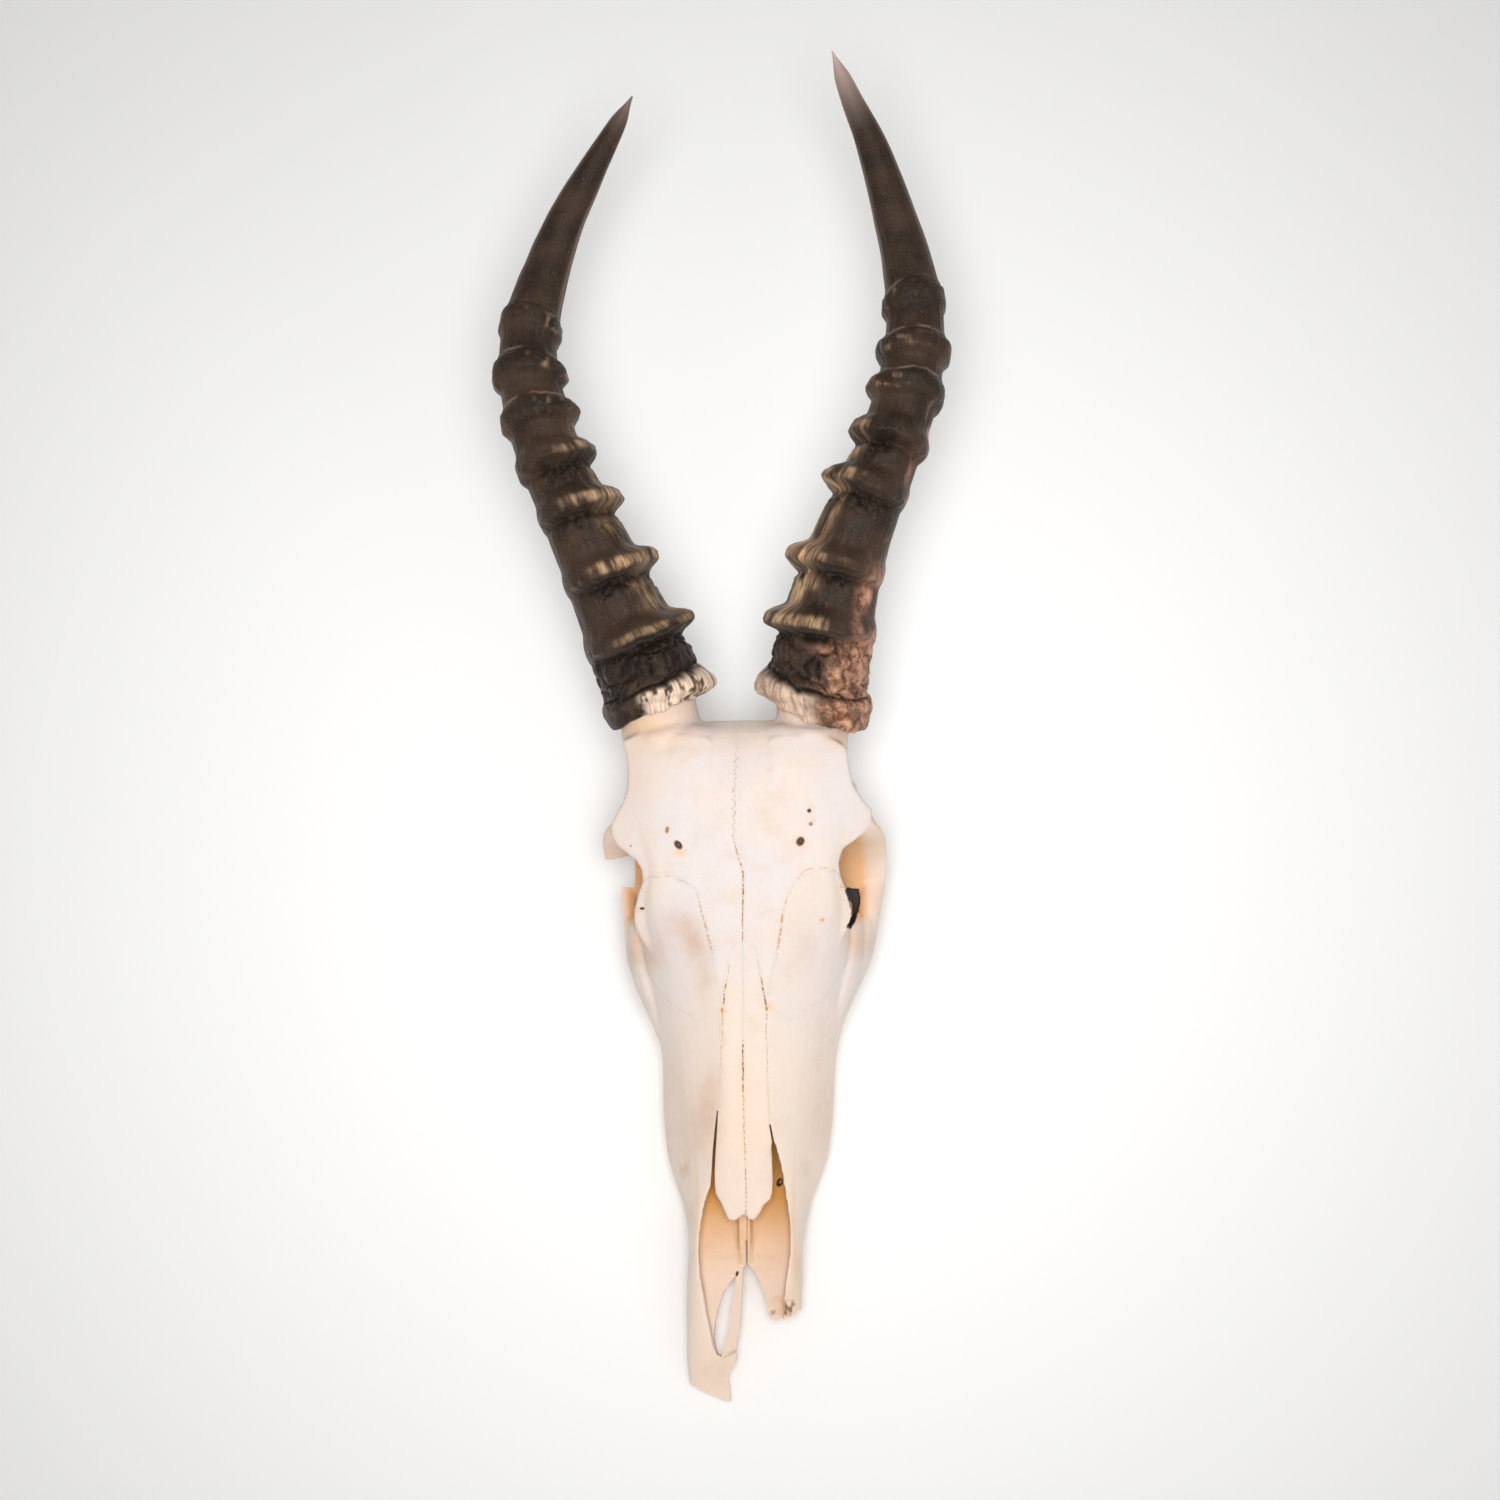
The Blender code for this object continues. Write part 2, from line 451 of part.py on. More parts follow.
def tooth(side, length, width, x, y):
    """A cheek tooth: two rounded pillars side by side, with the root in the jaw."""
    tilt = math.atan2(BITE_BACK[1] - BITE_FRONT[1], BITE_BACK[0] - BITE_FRONT[0])
    depth = CROWN_HEIGHT + ROOT_DEPTH
    pillars = 1 if length < TWO_PILLARS_FROM else 2
    made = []
    for k in range(pillars):
        shift = (k - (pillars - 1) / 2) * length / pillars
        bm = bmesh.new()
        place = (
            Matrix.Translation((x * side + bend(y), y + shift, bite_z(y + shift) + depth / 2))
            @ Matrix.Rotation(tilt, 4, "X")
            @ Matrix.Diagonal((width / 2, length / pillars * PILLAR_SHARE, 1, 1))
        )
        bmesh.ops.create_cone(
            bm, cap_ends=True, segments=PILLAR_SIDES, radius1=CROWN_TAPER, radius2=1, depth=depth, matrix=place
        )
        made.append(new_object("tooth", bm))
    return made


def solid_forms():
    """The head before it is hollowed, with the brows, the back of the skull and the teeth."""
    forms = [section_loft("head", HEAD_SECTIONS)]
    for side in (LEFT, RIGHT):
        forms += [brow_plate(side), ball("bulla", *BULLA, side), ball("jaw_joint", *JAW_JOINT, side)]
        forms += [bar(word, stations, side) for word, stations in REAR_BARS.items()]
        forms += [bar(word, stations, side, up=(1, 0, 0)) for word, stations in REAR_UPRIGHTS.items()]
        forms.append(pedicel(side, 0.0, SOCKET_DEPTH))
    forms.append(bar("skull_base", SKULL_BASE))
    return forms


def hollow_forms():
    """What is cut out of the head: the nose, the orbits, temples, choana and brain opening."""
    aperture = upright("aperture", RIGHT_WALL_EDGE + LEFT_WALL_EDGE + NASAL_TIPS, 0, ABOVE_ALL)
    sliced(aperture, 1, SLICE_ALONG)
    for vert in aperture.data.vertices:
        vert.co.z = floor_z(vert.co.y) if vert.co.z < ABOVE_ALL / 2 else ABOVE_ALL
    forms = [section_loft("nasal_cavity", CAVITY_SECTIONS), aperture]
    for side in (LEFT, RIGHT):
        forms.append(ball("orbit", ORBIT_CENTRE, ORBIT_RADII, side))
        forms.append(ball("temple", TEMPLE_CENTRE, TEMPLE_RADII, side))
        forms.append(ball("throat_side", *THROAT_SIDE, side))
    return forms + [ball("choana", *CHOANA), bar("brain_opening", BRAIN_OPENING)]


def thin_forms():
    """Bars and plates that are added once the hollows are cut."""
    forms = []
    for side in (LEFT, RIGHT):
        forms += [
            bar("cheek", CHEEK_BAR, side),
            bar("rear_bar", REAR_ORBIT_BAR, side, up=(1, 0, 0)),
            bar("front_rim", FRONT_ORBIT_RIM, side, up=(1, 0, 0)),
            bar("pterygoid", PTERYGOID, side),
        ]
        for size in TEETH:
            forms += tooth(side, *size)
    for x in (VOMER_MIDDLE - VOMER_SPREAD, VOMER_MIDDLE + VOMER_SPREAD):
        forms.append(bar("vomer", [(x, *row) for row in VOMER_BLADE]))
    forms.append(bar("vomer_foot", [(VOMER_MIDDLE, *row) for row in VOMER_FOOT]))
    return forms


def horn_axis(side):
    """Points up the middle of a horn, evenly spaced, with their place from 0 to 1."""
    flat = curve(HORN_LINE[side], 24)
    lengths = np.concatenate([[0], np.cumsum(np.hypot(*np.diff(flat, axis=0).T))])
    places = np.linspace(0, 1, AXIS_STEPS + 1)
    xs = np.interp(places * lengths[-1], lengths, flat[:, 0])
    ys = np.interp(places * lengths[-1], lengths, flat[:, 1])
    slopes = [math.tan(math.radians(mixed(HORN_LEAN, s))) for s in places]
    rise = np.concatenate([[0], np.cumsum(np.array(slopes[1:]) * lengths[-1] / AXIS_STEPS)])
    return places, np.column_stack([xs, ys, HORN_BASE_Z + rise])


def horn_frame(points, i):
    """The direction along a horn at a point, that towards the other horn, and the front."""
    before, after = points[max(i - AXIS_REACH, 0)], points[min(i + AXIS_REACH, len(points) - 1)]
    along = Vector(after - before).normalized()
    inward = Vector((-math.copysign(1, points[0][0]), 0, 0))
    inward = (inward - along * inward.dot(along)).normalized()
    front = along.cross(inward)
    if front.z < 0:
        front.negate()
    return along, inward, front


def ring_height(side, place, angle, length):
    """How far a horn's rings stand out at a place and an angle from the inner side."""
    total = 0.0
    inner, front = math.cos(angle), math.sin(angle)
    for at, (on_inner, on_front, on_outer, on_back) in zip(RING_PLACES[side], RING_CRESTS):
        crest = (
            (on_inner if inner > 0 else on_outer) * inner**2
            + (on_front if front > 0 else on_back) * front**2
        )
        away = (place - at) * length - RING_RISE * front + RING_DROP * max(inner, 0)
        total += crest * math.exp(-(abs(away / RING_WIDTH) ** RING_POWER))
    return total


def horn(side):
    """A ringed horn sheath with a socket that sits on the frontal bone's stump."""
    places, points = horn_axis(side)
    length = float(np.linalg.norm(np.diff(points, axis=0), axis=1).sum())
    steps = [at + step / length for at in RING_PLACES[side] for step in RING_STEPS]
    necks = [(a + b) / 2 for a, b in zip(RING_PLACES[side], RING_PLACES[side][1:])]
    wanted = [s for s in steps + necks if s > FIRST_STATION] + list(np.linspace(*TIP_STATIONS)) + [0.0, 1.0]
    rings = []
    for place in sorted(wanted):
        i = int(np.argmin(np.abs(places - place)))
        along, inward, front = horn_frame(points, i)
        radius = mixed(HORN_RADII, place)
        ring = []
        fade = max(1 - place / RIM_LENGTH, 0)
        all_round, inner_rise, front_rise = RIM[side]
        for k in range(HORN_SIDES):
            angle = math.tau * k / HORN_SIDES
            reach = radius + ring_height(side, place, angle, length)
            out = inward * math.cos(angle) + front * math.sin(angle)
            rise = fade * (all_round + inner_rise * math.cos(angle) + front_rise * math.sin(angle))
            ring.append(Vector(points[i]) + out * reach + along * rise)
        rings.append(ring)
    made = skin("horn_left" if side == LEFT else "horn_right", rings)
    combine(made, pedicel(side, SOCKET_ROOM, SOCKET_DEPTH + SOCKET_ROOM), "DIFFERENCE")
    return made


def pedicel(side, grow, depth):
    """The bony stump of a horn, which ends so far inside the sheath."""
    places, points = horn_axis(side)
    along, _, _ = horn_frame(points, 0)
    base, end = Vector(points[0]), Vector(points[0]) + along * depth
    inwards, radius = STUMP_END[side]
    stations = list(PEDICEL[side])
    for point in (base - along * STUMP_LEAD, end):
        stations.append((point.x - inwards * side, point.y, point.z, radius, radius))
    stations = [(x, y, z, w + grow, h + grow) for x, y, z, w, h in stations]
    return bar("pedicel", stations, steps=3, round_count=STUMP_SIDES)


def grown(outline, by):
    """The outline moved outwards by a distance, whichever way round its points run."""
    points = [Vector(p) for p in outline]
    turns = sum(a.cross(b) for a, b in zip(points, points[1:] + points[:1]))
    if turns < 0:
        points.reverse()
    moved = []
    for before, point, after in zip(points[-1:] + points, points, points[1:] + points[:1]):
        first = (point - before).normalized()
        second = (after - point).normalized()
        a, b = Vector((first.y, -first.x)), Vector((second.y, -second.x))
        moved.append(tuple(point + (a + b) * by / max(1 + a.dot(b), SHARPEST)))
    return moved


# How much a sharp corner of an outline may run out when the outline is moved.
SHARPEST = 0.4
# The outlines of the bones: plans as X and Y seen from above, profiles as Y and Z from the side.
NASAL_EDGES = {
    LEFT: ((14, -140), (14, -121), (12.6, -110), (11, -101), (9.8, -94), (9.3, -72), (9.1, -45.6),
           (7.2, -31), (5.4, -19.5), (2.6, -17.4)),
    RIGHT: ((-14.2, -140), (-14.2, -115), (-13.3, -103), (-12.7, -97), (-11.7, -88), (-11, -72),
            (-9.9, -45.3), (-8, -32), (-5.6, -21), (-2.6, -17.4)),
}
FRONTAL_PLAN = ((9.2, -43), (13.9, -20), (16.3, -8), (18.6, 2.5), (23.5, 8.4), (31.5, 12.2),
                (38.5, 10.5), (44, 6.5), (75, 6.5), (75, 120))
FRONTAL_PROFILE = ((-60, 20), (-60, -7), (-20, -9), (0, -11), (20, -22), (40, -26), (50, -28),
                   (62, -36), (80, -50), (120, -50), (120, 20))
LACRIMAL_PLAN = ((9.2, -43), (19, -50), (33, -41), (43, -26), (56, -14), (58, 8), (30, 16), (9.2, 16))
LACRIMAL_PROFILE = ((-60, 20), (-60, -22), (-30, -28), (-8, -35), (20, -36), (20, 20))
CHEEK_PLAN = {
    LEFT: ((39.5, -52), (75, -52), (75, 46), (46, 46), (43, 38), (35.5, 30), (35.5, 2), (40, -6),
           (40.5, -16)),
    RIGHT: ((-39.5, -52), (-75, -52), (-75, 12), (-35.5, 12), (-35.5, 2), (-40, -6), (-40.5, -16)),
}
# The rest of the bar behind the right orbit, above the break of the cheek.
ORBIT_BAR_PLAN = ((-36, 10), (-75, 10), (-75, 46), (-46, 46), (-43, 38), (-36, 30))
ORBIT_BAR_PROFILE = ((10, -52), (10, -16), (50, -16), (50, -48))
CHEEK_PROFILE = ((-42, -70), (-42, -48), (-25, -38), (-8, -16), (50, -16), (50, -75))
PREMAXILLA_PROFILE = ((-230, 30), (-91, 30), (-91, -7), (-152, -42), (-152, -60), (-230, -60))
MAXILLA_PROFILE = ((-230, 30), (-22, 30), (-32, -30), (-36, -100), (-230, -100))
NASAL_PROFILE = ((-145, 20), (-145, -14), (-95, -11.5), (-62, -8), (-10, -6), (-10, 20))
VOMER_PROFILE = ((-153, -26.4), (-153, 0), (-150, -11.4), (-110, -9.4), (-60, -8.5), (-60, -51.5),
                 (-90, -41.8), (-130, -30.2))
VOMER_HALF, VOMER_REACH = 4.9, (-153, -62)
# How far back, forward and out the plans reach, and where each pair of bones ends.
BACK_Y, FRONT_Y, SIDE_X = 120, -230, 80
NASAL_TOP, NASAL_FRONT, FRONTAL_FRONT = -17.2, -140, -60


def half_plan(side, top, bottom, outer):
    """A plan between the midline, from one Y down to another, and an outer edge."""
    ys = [top] + [y for _, y in MIDLINE if bottom < y < top] + [bottom]
    middle = [(float(np.interp(-y, [-m[1] for m in MIDLINE], [m[0] for m in MIDLINE])), y) for y in ys]
    return middle + [(abs(x) * side, y) for x, y in outer]


def bone_region(name, plan, profile, side, by):
    """The space of one bone: a prism on a plan, cut by a prism on a profile."""
    region = upright(name, grown(plan, by), BELOW_ALL, ABOVE_ALL)
    low, high = sorted((side * -SIDE_X / 4, side * SIDE_X))
    combine(region, sideways("profile", grown(profile, by), low, high), "INTERSECT")
    return region


def part_bones(whole):
    """Parts the skull into its bones by thin cuts, each bone an object of its own."""
    low, high = VOMER_MIDDLE - VOMER_HALF, VOMER_MIDDLE + VOMER_HALF
    front, back = VOMER_REACH
    steps = [
        ("vomer", LEFT, ((low, front), (high, front), (high, back), (low, back)), VOMER_PROFILE),
        ("zygomatic_right_bar", RIGHT, ORBIT_BAR_PLAN, ORBIT_BAR_PROFILE),
    ]
    for side, word in ((LEFT, "left"), (RIGHT, "right")):
        half = half_plan(side, BACK_Y, FRONT_Y, ((SIDE_X, FRONT_Y), (SIDE_X, BACK_Y)))
        steps += [
            ("nasal_" + word, side, half_plan(side, NASAL_TOP, NASAL_FRONT, NASAL_EDGES[side]), NASAL_PROFILE),
            ("frontal_" + word, side, half_plan(side, BACK_Y, FRONTAL_FRONT, FRONTAL_PLAN), FRONTAL_PROFILE),
            ("lacrimal_" + word, side, [(x * side, y) for x, y in LACRIMAL_PLAN], LACRIMAL_PROFILE),
            ("zygomatic_" + word, side, CHEEK_PLAN[side], CHEEK_PROFILE),
            ("premaxilla_" + word, side, half, PREMAXILLA_PROFILE),
            ("maxilla_" + word, side, half, MAXILLA_PROFILE),
        ]
    bones = []
    for name, side, plan, profile in steps:
        bone = new_object(name, whole.data.copy())
        combine(bone, bone_region("inside", plan, profile, side, -GAP / 2), "INTERSECT")
        combine(whole, bone_region("outside", plan, profile, side, GAP / 2), "DIFFERENCE")
        keep_largest(bone)
        if name.startswith("frontal"):
            for x, y, radius, depth in FORAMINA:
                if x * side > 0:
                    combine(bone, foramen(bone, x, y, radius, depth), "DIFFERENCE")
        bones.append(bone)
    keep_largest(whole)
    whole.name = "braincase"
    bones.append(whole)
    return bones


def foramen(bone, x, y, radius, depth):
    """The space of a small round pit that narrows into a bone from above."""
    hit, point, _, _ = bone.ray_cast(Vector((x, y, ABOVE_ALL)), Vector((0, 0, -1)))
    bm = bmesh.new()
    place = Matrix.Translation((x, y, (point.z if hit else 0) - depth / 2))
    bmesh.ops.create_cone(
        bm, cap_ends=True, segments=FORAMEN_SIDES, radius1=radius * FORAMEN_NARROW,
        radius2=radius * FORAMEN_WIDE, depth=depth * 2, matrix=place
    )
    return new_object("foramen", bm)


def skull():
    """The whole skull as one closed mesh, before it is parted into bones."""
    whole = merged("skull", solid_forms(), VOXEL)
    for form in hollow_forms():
        combine(whole, form, "DIFFERENCE")
    whole = merged("skull", [whole] + thin_forms(), VOXEL)
    applied(whole, "SMOOTH", factor=SMOOTH_FACTOR, iterations=SMOOTH_TIMES)
    keep_largest(whole)
    faces = 2 * len(whole.data.polygons)
    applied(whole, "DECIMATE", ratio=SKULL_TRIANGLES / faces, use_collapse_triangulate=True)
    for outline, low, high in BREAKS:
        combine(whole, upright("break", outline, low, high), "DIFFERENCE")
    return whole


def material(name, colour, roughness):
    made = bpy.data.materials.new(name)
    made.use_nodes = True
    shader = made.node_tree.nodes["Principled BSDF"]
    shader.inputs["Base Color"].default_value = (*colour, 1)
    shader.inputs["Roughness"].default_value = roughness
    shader.inputs["Metallic"].default_value = 0
    return made


def rest_turn(objects):
    """The turn about X, in radians, that lays the skull on its teeth and condyles."""
    points = sorted({(round(v.co.y, 2), round(v.co.z, 2)) for o in objects for v in o.data.vertices})
    lower = []
    for point in points:
        while len(lower) > 1:
            (y0, z0), (y1, z1) = lower[-2:]
            if (y1 - y0) * (point[1] - z0) > (z1 - z0) * (point[0] - y0):
                break
            lower.pop()
        lower.append(point)
    for (y0, z0), (y1, z1) in zip(lower, lower[1:]):
        if y0 <= 0 < y1:
            return math.atan2(z0 - z1, y1 - y0)
    return 0.0


def main():
    for old in list(bpy.data.objects):
        bpy.data.objects.remove(old)
    bones = part_bones(skull())
    horns = [horn(LEFT), horn(RIGHT)]
    bone_look = material("bone", BONE_COLOUR, BONE_ROUGHNESS)
    horn_look = material("horn", HORN_COLOUR, HORN_ROUGHNESS)
    collection = bpy.data.collections.new(NAME)
    bpy.context.scene.collection.children.link(collection)
    turn = Matrix.Rotation(rest_turn(bones), 4, "X")
    parts = bones + horns
    corners = [turn @ v.co for part in parts for v in part.data.vertices]
    low = [min(c[k] for c in corners) for k in range(3)]
    high = [max(c[k] for c in corners) for k in range(3)]
    shift = Vector(((low[0] + high[0]) / 2, (low[1] + high[1]) / 2, low[2]))
    rest = bpy.data.objects.new("rest", None)
    rest.matrix_world = Matrix.Translation(-shift * METRES) @ turn
    collection.objects.link(rest)
    for part in parts:
        part.data.materials.clear()
        part.data.materials.append(horn_look if part in horns else bone_look)
        part.data.transform(Matrix.Scale(METRES, 4))
        part.data.shade_smooth()
        part.data.set_sharp_from_angle(angle=SHARP_EDGE)
        bpy.context.scene.collection.objects.unlink(part)
        collection.objects.link(part)
        part.parent = rest


main()
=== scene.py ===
import math

import bmesh
import bpy
import numpy as np
from mathutils import Matrix, Vector

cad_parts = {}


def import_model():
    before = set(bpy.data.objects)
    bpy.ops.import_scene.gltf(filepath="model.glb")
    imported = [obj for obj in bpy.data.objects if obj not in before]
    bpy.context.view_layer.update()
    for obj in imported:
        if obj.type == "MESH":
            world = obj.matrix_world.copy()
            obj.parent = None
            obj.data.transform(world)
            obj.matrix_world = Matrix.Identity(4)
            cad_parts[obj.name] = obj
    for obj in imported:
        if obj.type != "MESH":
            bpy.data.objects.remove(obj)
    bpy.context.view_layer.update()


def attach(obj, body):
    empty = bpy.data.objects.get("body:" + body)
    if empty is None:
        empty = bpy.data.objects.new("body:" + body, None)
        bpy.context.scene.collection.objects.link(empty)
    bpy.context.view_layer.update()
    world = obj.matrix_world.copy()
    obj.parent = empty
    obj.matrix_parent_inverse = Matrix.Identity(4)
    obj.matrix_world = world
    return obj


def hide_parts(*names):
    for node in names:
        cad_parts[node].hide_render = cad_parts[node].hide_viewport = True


# Sizes are in millimetres in the frame of the face: X to the skull's own left, Y from the
# muzzle to the horns, Z out of the forehead. The last step lays each piece on the floor.
METRES = 0.001
# The gap between two bones, the fineness of the skin, and heights that clear the head.
GAP, FINE = 0.03, 0.8
ABOVE_ALL, BELOW_ALL = 60.0, -150.0
LEFT, RIGHT = 1, -1
# What a bar's height is measured along where the bar stands upright.
STANDING = (1, 0, 0)
SHARP_EDGE = math.radians(45)

# Sections of the head, front to back: Y, then the right half of the outline from the
# top midline round to the bottom midline as X, Z pairs. The pairs are the roof's
# middle and edge, the upper and lower flank, both edges of the tooth row, the palate.
HEAD_SECTIONS = (
    (-212, (0, -20), (8, -20), (15, -20.5), (20, -22), (18, -24.5), (10, -25), (0, -24.5)),
    (-196, (0, -17.5), (10, -18), (18.5, -18.5), (22.8, -21.5), (21, -26.5), (12, -27), (0, -26.5)),
    (-178, (0, -13), (10, -14), (19.5, -15.8), (23.5, -21.5), (22, -30), (14, -30.5), (0, -29)),
    (-160, (0, -10), (10, -11), (20.3, -14), (23.6, -22), (22.8, -33), (16, -33), (0, -30.5)),
    (-143, (0, -8), (10, -9), (20.3, -13), (23.3, -23), (23, -36.5), (16.5, -36.5), (0, -32.5)),
    (-127, (0, -6.3), (10.5, -7.3), (21, -14), (24.8, -27), (26.2, -41), (17.5, -40.5), (0, -34)),
    (-109, (0, -4.8), (11, -6), (22.5, -15), (30.5, -32), (32, -47), (18.5, -46.5), (0, -39)),
    (-89, (0, -3.5), (11, -4.8), (24, -14.5), (33, -34), (34.3, -53.5), (20, -53), (0, -45.5)),
    (-68, (0, -2.2), (11.5, -3.5), (26, -14), (34, -36), (35, -60), (20.5, -59.5), (0, -52.5)),
    (-50, (0, -1), (12.5, -2.3), (29, -13), (38.5, -35), (37, -64), (21, -65.5), (0, -58.5)),
    (-32, (0, 0), (15, -1), (34, -11.5), (43, -34), (35.5, -66), (20, -66), (0, -62)),
    (-16, (0, 0.8), (20, -0.3), (38, -8.5), (43, -30), (32, -53), (15, -62), (0, -63)),
    (0, (0, 1.5), (25, 0.5), (40, -4.5), (40, -24), (28, -47), (14, -62), (0, -63)),
    (16, (0, 2), (28, 1), (39, -3), (33, -24), (26, -50), (14, -68), (0, -69)),
    (32, (0, 2), (32, 0), (46, -7), (34, -28), (31, -58), (16, -79), (0, -79)),
    (48, (0, 1.2), (30, -0.2), (45, -9), (36, -34), (35, -66), (18, -90), (0, -89)),
    (60, (0, -1.2), (26, -2.2), (42, -14), (36, -40), (35, -72), (18, -95), (0, -95)),
    (69, (0, -5), (16, -6.5), (34, -22), (34, -44), (32, -72), (17, -92), (0, -94)),
    (74, (0, -13), (10, -15), (24, -28), (26, -46), (24, -70), (12, -86), (0, -88)),
)

# Sections of the nasal cavity, in the same way, with five pairs each.
CAVITY_SECTIONS = (
    (-149, (0, -11), (10, -12), (18, -16), (18.5, -26), (0, -27.5)),
    (-130, (0, -9.6), (9.5, -10.6), (18, -16.5), (20, -28), (0, -30)),
    (-110, (0, -8.3), (10, -9.5), (19, -18.5), (23.5, -34), (0, -35.5)),
    (-90, (0, -7), (10.5, -8.3), (20, -18.5), (26, -38), (0, -41.5)),
    (-73, (0, -6.5), (10, -8), (20, -18.5), (24, -38), (0, -46)),
    (-61, (0, -17), (5, -19), (8, -25), (8, -32), (0, -36)),
)

# How far the middle of the head strays sideways, as Y and X: this muzzle is a little bent.
HEAD_BEND = ((-212, -3.4), (-170, -2.6), (-150, -1.9), (-130, -1.2), (-90, -0.4), (-55, 0.4), (-20, 0.4),
             (0, 0.0), (80, 0.0))
# The seam down the middle of the face, from the horns to the muzzle, as X and Y.
MIDLINE = ((-0.9, 120), (-1.6, 72), (-2.0, 54), (-2.5, 45), (-3.0, 31), (-3.1, 25), (-2.1, 20.7),
           (-1.0, 16.7), (0.3, 12.8), (0.7, 7), (0.3, 1.7), (0.2, -2), (0, -7.2), (-0.2, -17.2),
           (-0.5, -45), (-0.75, -60), (-0.85, -88), (-0.6, -108), (-0.4, -122), (-0.9, -131),
           (-1.0, -155), (-1.0, -230))

# The opening of the nose from above: down the inner edge of the right wall, round the
# front, up the inner edge of the left wall, and round the free ends of the nasals.
RIGHT_WALL_EDGE = ((-15.2, -118), (-16.8, -122), (-18.3, -127), (-19.8, -135), (-20.8, -145), (-20.3, -155),
                   (-19, -163), (-18, -170), (-16.5, -178), (-15.2, -185), (-13, -191))
LEFT_WALL_EDGE = ((14, -176), (14.5, -162), (15.8, -154), (17.2, -146), (17.3, -138), (16.7, -129),
                  (15.5, -121), (14.6, -114), (13.5, -108), (11.6, -100), (9.9, -94))
NASAL_TIPS = ((10.5, -107), (10.8, -117), (10.5, -121), (9.8, -124), (6.8, -126.5), (5.2, -129.5),
              (4, -131), (2.3, -132.8), (0.5, -132), (-1.2, -129.7), (-2.3, -130.4), (-4, -131.9),
              (-6, -133), (-8, -132), (-9.8, -128), (-11, -125), (-13.1, -121.5), (-13.6, -117))
# The narrow slit between the right nasal and the wall beside it.
RIGHT_SLIT = ((-11.5, -87), (-12.2, -97), (-12.7, -103), (-13.3, -112), (-13.3, -121), (-15.4, -119),
              (-14.7, -112), (-14, -103), (-13.3, -97), (-12, -87))
# The slit beside the left nasal.
LEFT_SLIT = ((9.5, -93), (10.5, -100), (10.7, -106), (10.6, -113), (13.4, -113), (12.6, -106), (11.3, -99),
             (10.2, -93))

# The floor of the nose and the palate in front of it, as Y and Z of the upper face.
NOSE_FLOOR = ((-212, -15), (-195, -16.5), (-186, -18.3), (-176, -21.5), (-161, -25.3), (-130, -30),
              (-90, -41))
# How high the opening of the nose is cut.
NOSE_TOP = 30.0

# The long hole between the right premaxilla's two arms.
RIGHT_FISSURE = ((-6, -156.5), (-8.5, -159), (-10.5, -161.8), (-12.3, -166), (-13.7, -170.5),
                 (-14.8, -176), (-15.2, -181), (-14.8, -185), (-13.8, -188.5), (-12.2, -189.3),
                 (-11.5, -187), (-10, -182), (-8.6, -177), (-8, -172.5), (-8.2, -170.5), (-7, -166),
                 (-6.2, -160))
# What is missing between the premaxillae and off the broken left one, from above.
BROKEN_FRONT = ((-1, -151.5), (-2.6, -152.5), (-3, -155), (-3.6, -165), (-4.2, -175), (-4.8, -180),
                (-5.5, -183), (-5.7, -187), (-6.1, -191), (-7.3, -193.5), (-9.2, -196), (-9.6, -199),
                (-9, -203), (-8.8, -207), (-8.8, -225), (40, -225), (40, -170), (19.7, -170.4),
                (17, -173), (14.5, -174), (12.7, -173.4), (10.5, -174.9), (8.3, -174.4),
                (7.2, -171), (6.5, -166), (5.3, -162), (4, -158.5), (2, -155), (0.2, -152.5))
# What the broken front of the right premaxilla lacks, from above.
RIGHT_FRONT_CORNER = ((-28.3, -190), (-26.8, -192.5), (-26.2, -197.5), (-25, -200.9), (-20, -203.6),
                      (-14, -206), (-12, -207.3), (-8.8, -208), (-6, -208), (-6, -225),
                      (-40, -225), (-40, -190))

# The brow from above, with the process behind the orbit, and the dome of the forehead.
BROW = {
    LEFT: ((12, 67), (28, 68), (38, 66), (43.4, 63), (44.4, 59), (45, 53), (46.5, 46.8), (50.5, 40.5),
           (54.3, 36), (53.4, 32.5), (50.5, 27), (46, 23.6), (41.5, 20.5), (39.9, 14.5), (40.6, 9), (42.6, 4),
           (44, -1), (45.4, -6), (43.5, -12), (38.5, -21), (20, -24)),
    RIGHT: ((-12, 67), (-30, 69), (-43, 69), (-49.4, 66.5), (-48.6, 64), (-47.5, 60), (-47, 54), (-47.2, 47),
            (-48.6, 42), (-52, 36), (-54.2, 32), (-54, 27.5), (-51.5, 22.8), (-46.8, 19.4),
            (-43.5, 16.5), (-41.5, 12.5), (-41.4, 8),
            (-43.6, 2), (-45.2, -4), (-45.4, -9), (-43.5, -14), (-38.5, -22), (-20, -24)),
}
BROW_TOP, BROW_THICK, DOME_EDGE, DOME_FALL = 1.5, 7.0, 12.0, 0.0045
# How closely a plate is sliced, across and along, before it is bent.
SLICE_ACROSS, SLICE_ALONG = 3.0, 6.0
# In front of this Y the brow dips towards the lacrimal, so much to a millimetre.
DIP_START, DIP_SLOPE = 12.0, 0.3
# Behind this Y it falls away to the stumps of the horns, by the square of the distance.
FALL_START, FALL_RATE = 46.0, 0.0078

# Bars of the cheek: X, Y, Z of the middle, then half the width and half the height.
CHEEK_BAR = ((35.5, -50, -56, 4.5, 6), (41.2, -37, -54, 5, 8.5), (46.8, -23, -52, 5.5, 10),
             (50.2, -8, -53, 5.2, 7.5), (52, 4, -57, 5.4, 5.5), (53, 16, -60, 4.8, 5.5),
             (51.5, 26, -61, 4.4, 5.5), (47.5, 35, -62, 4, 5.5), (42.5, 43, -62.5, 4, 5.3),
             (38.5, 50, -63, 4, 5), (32, 58, -62, 6, 5))
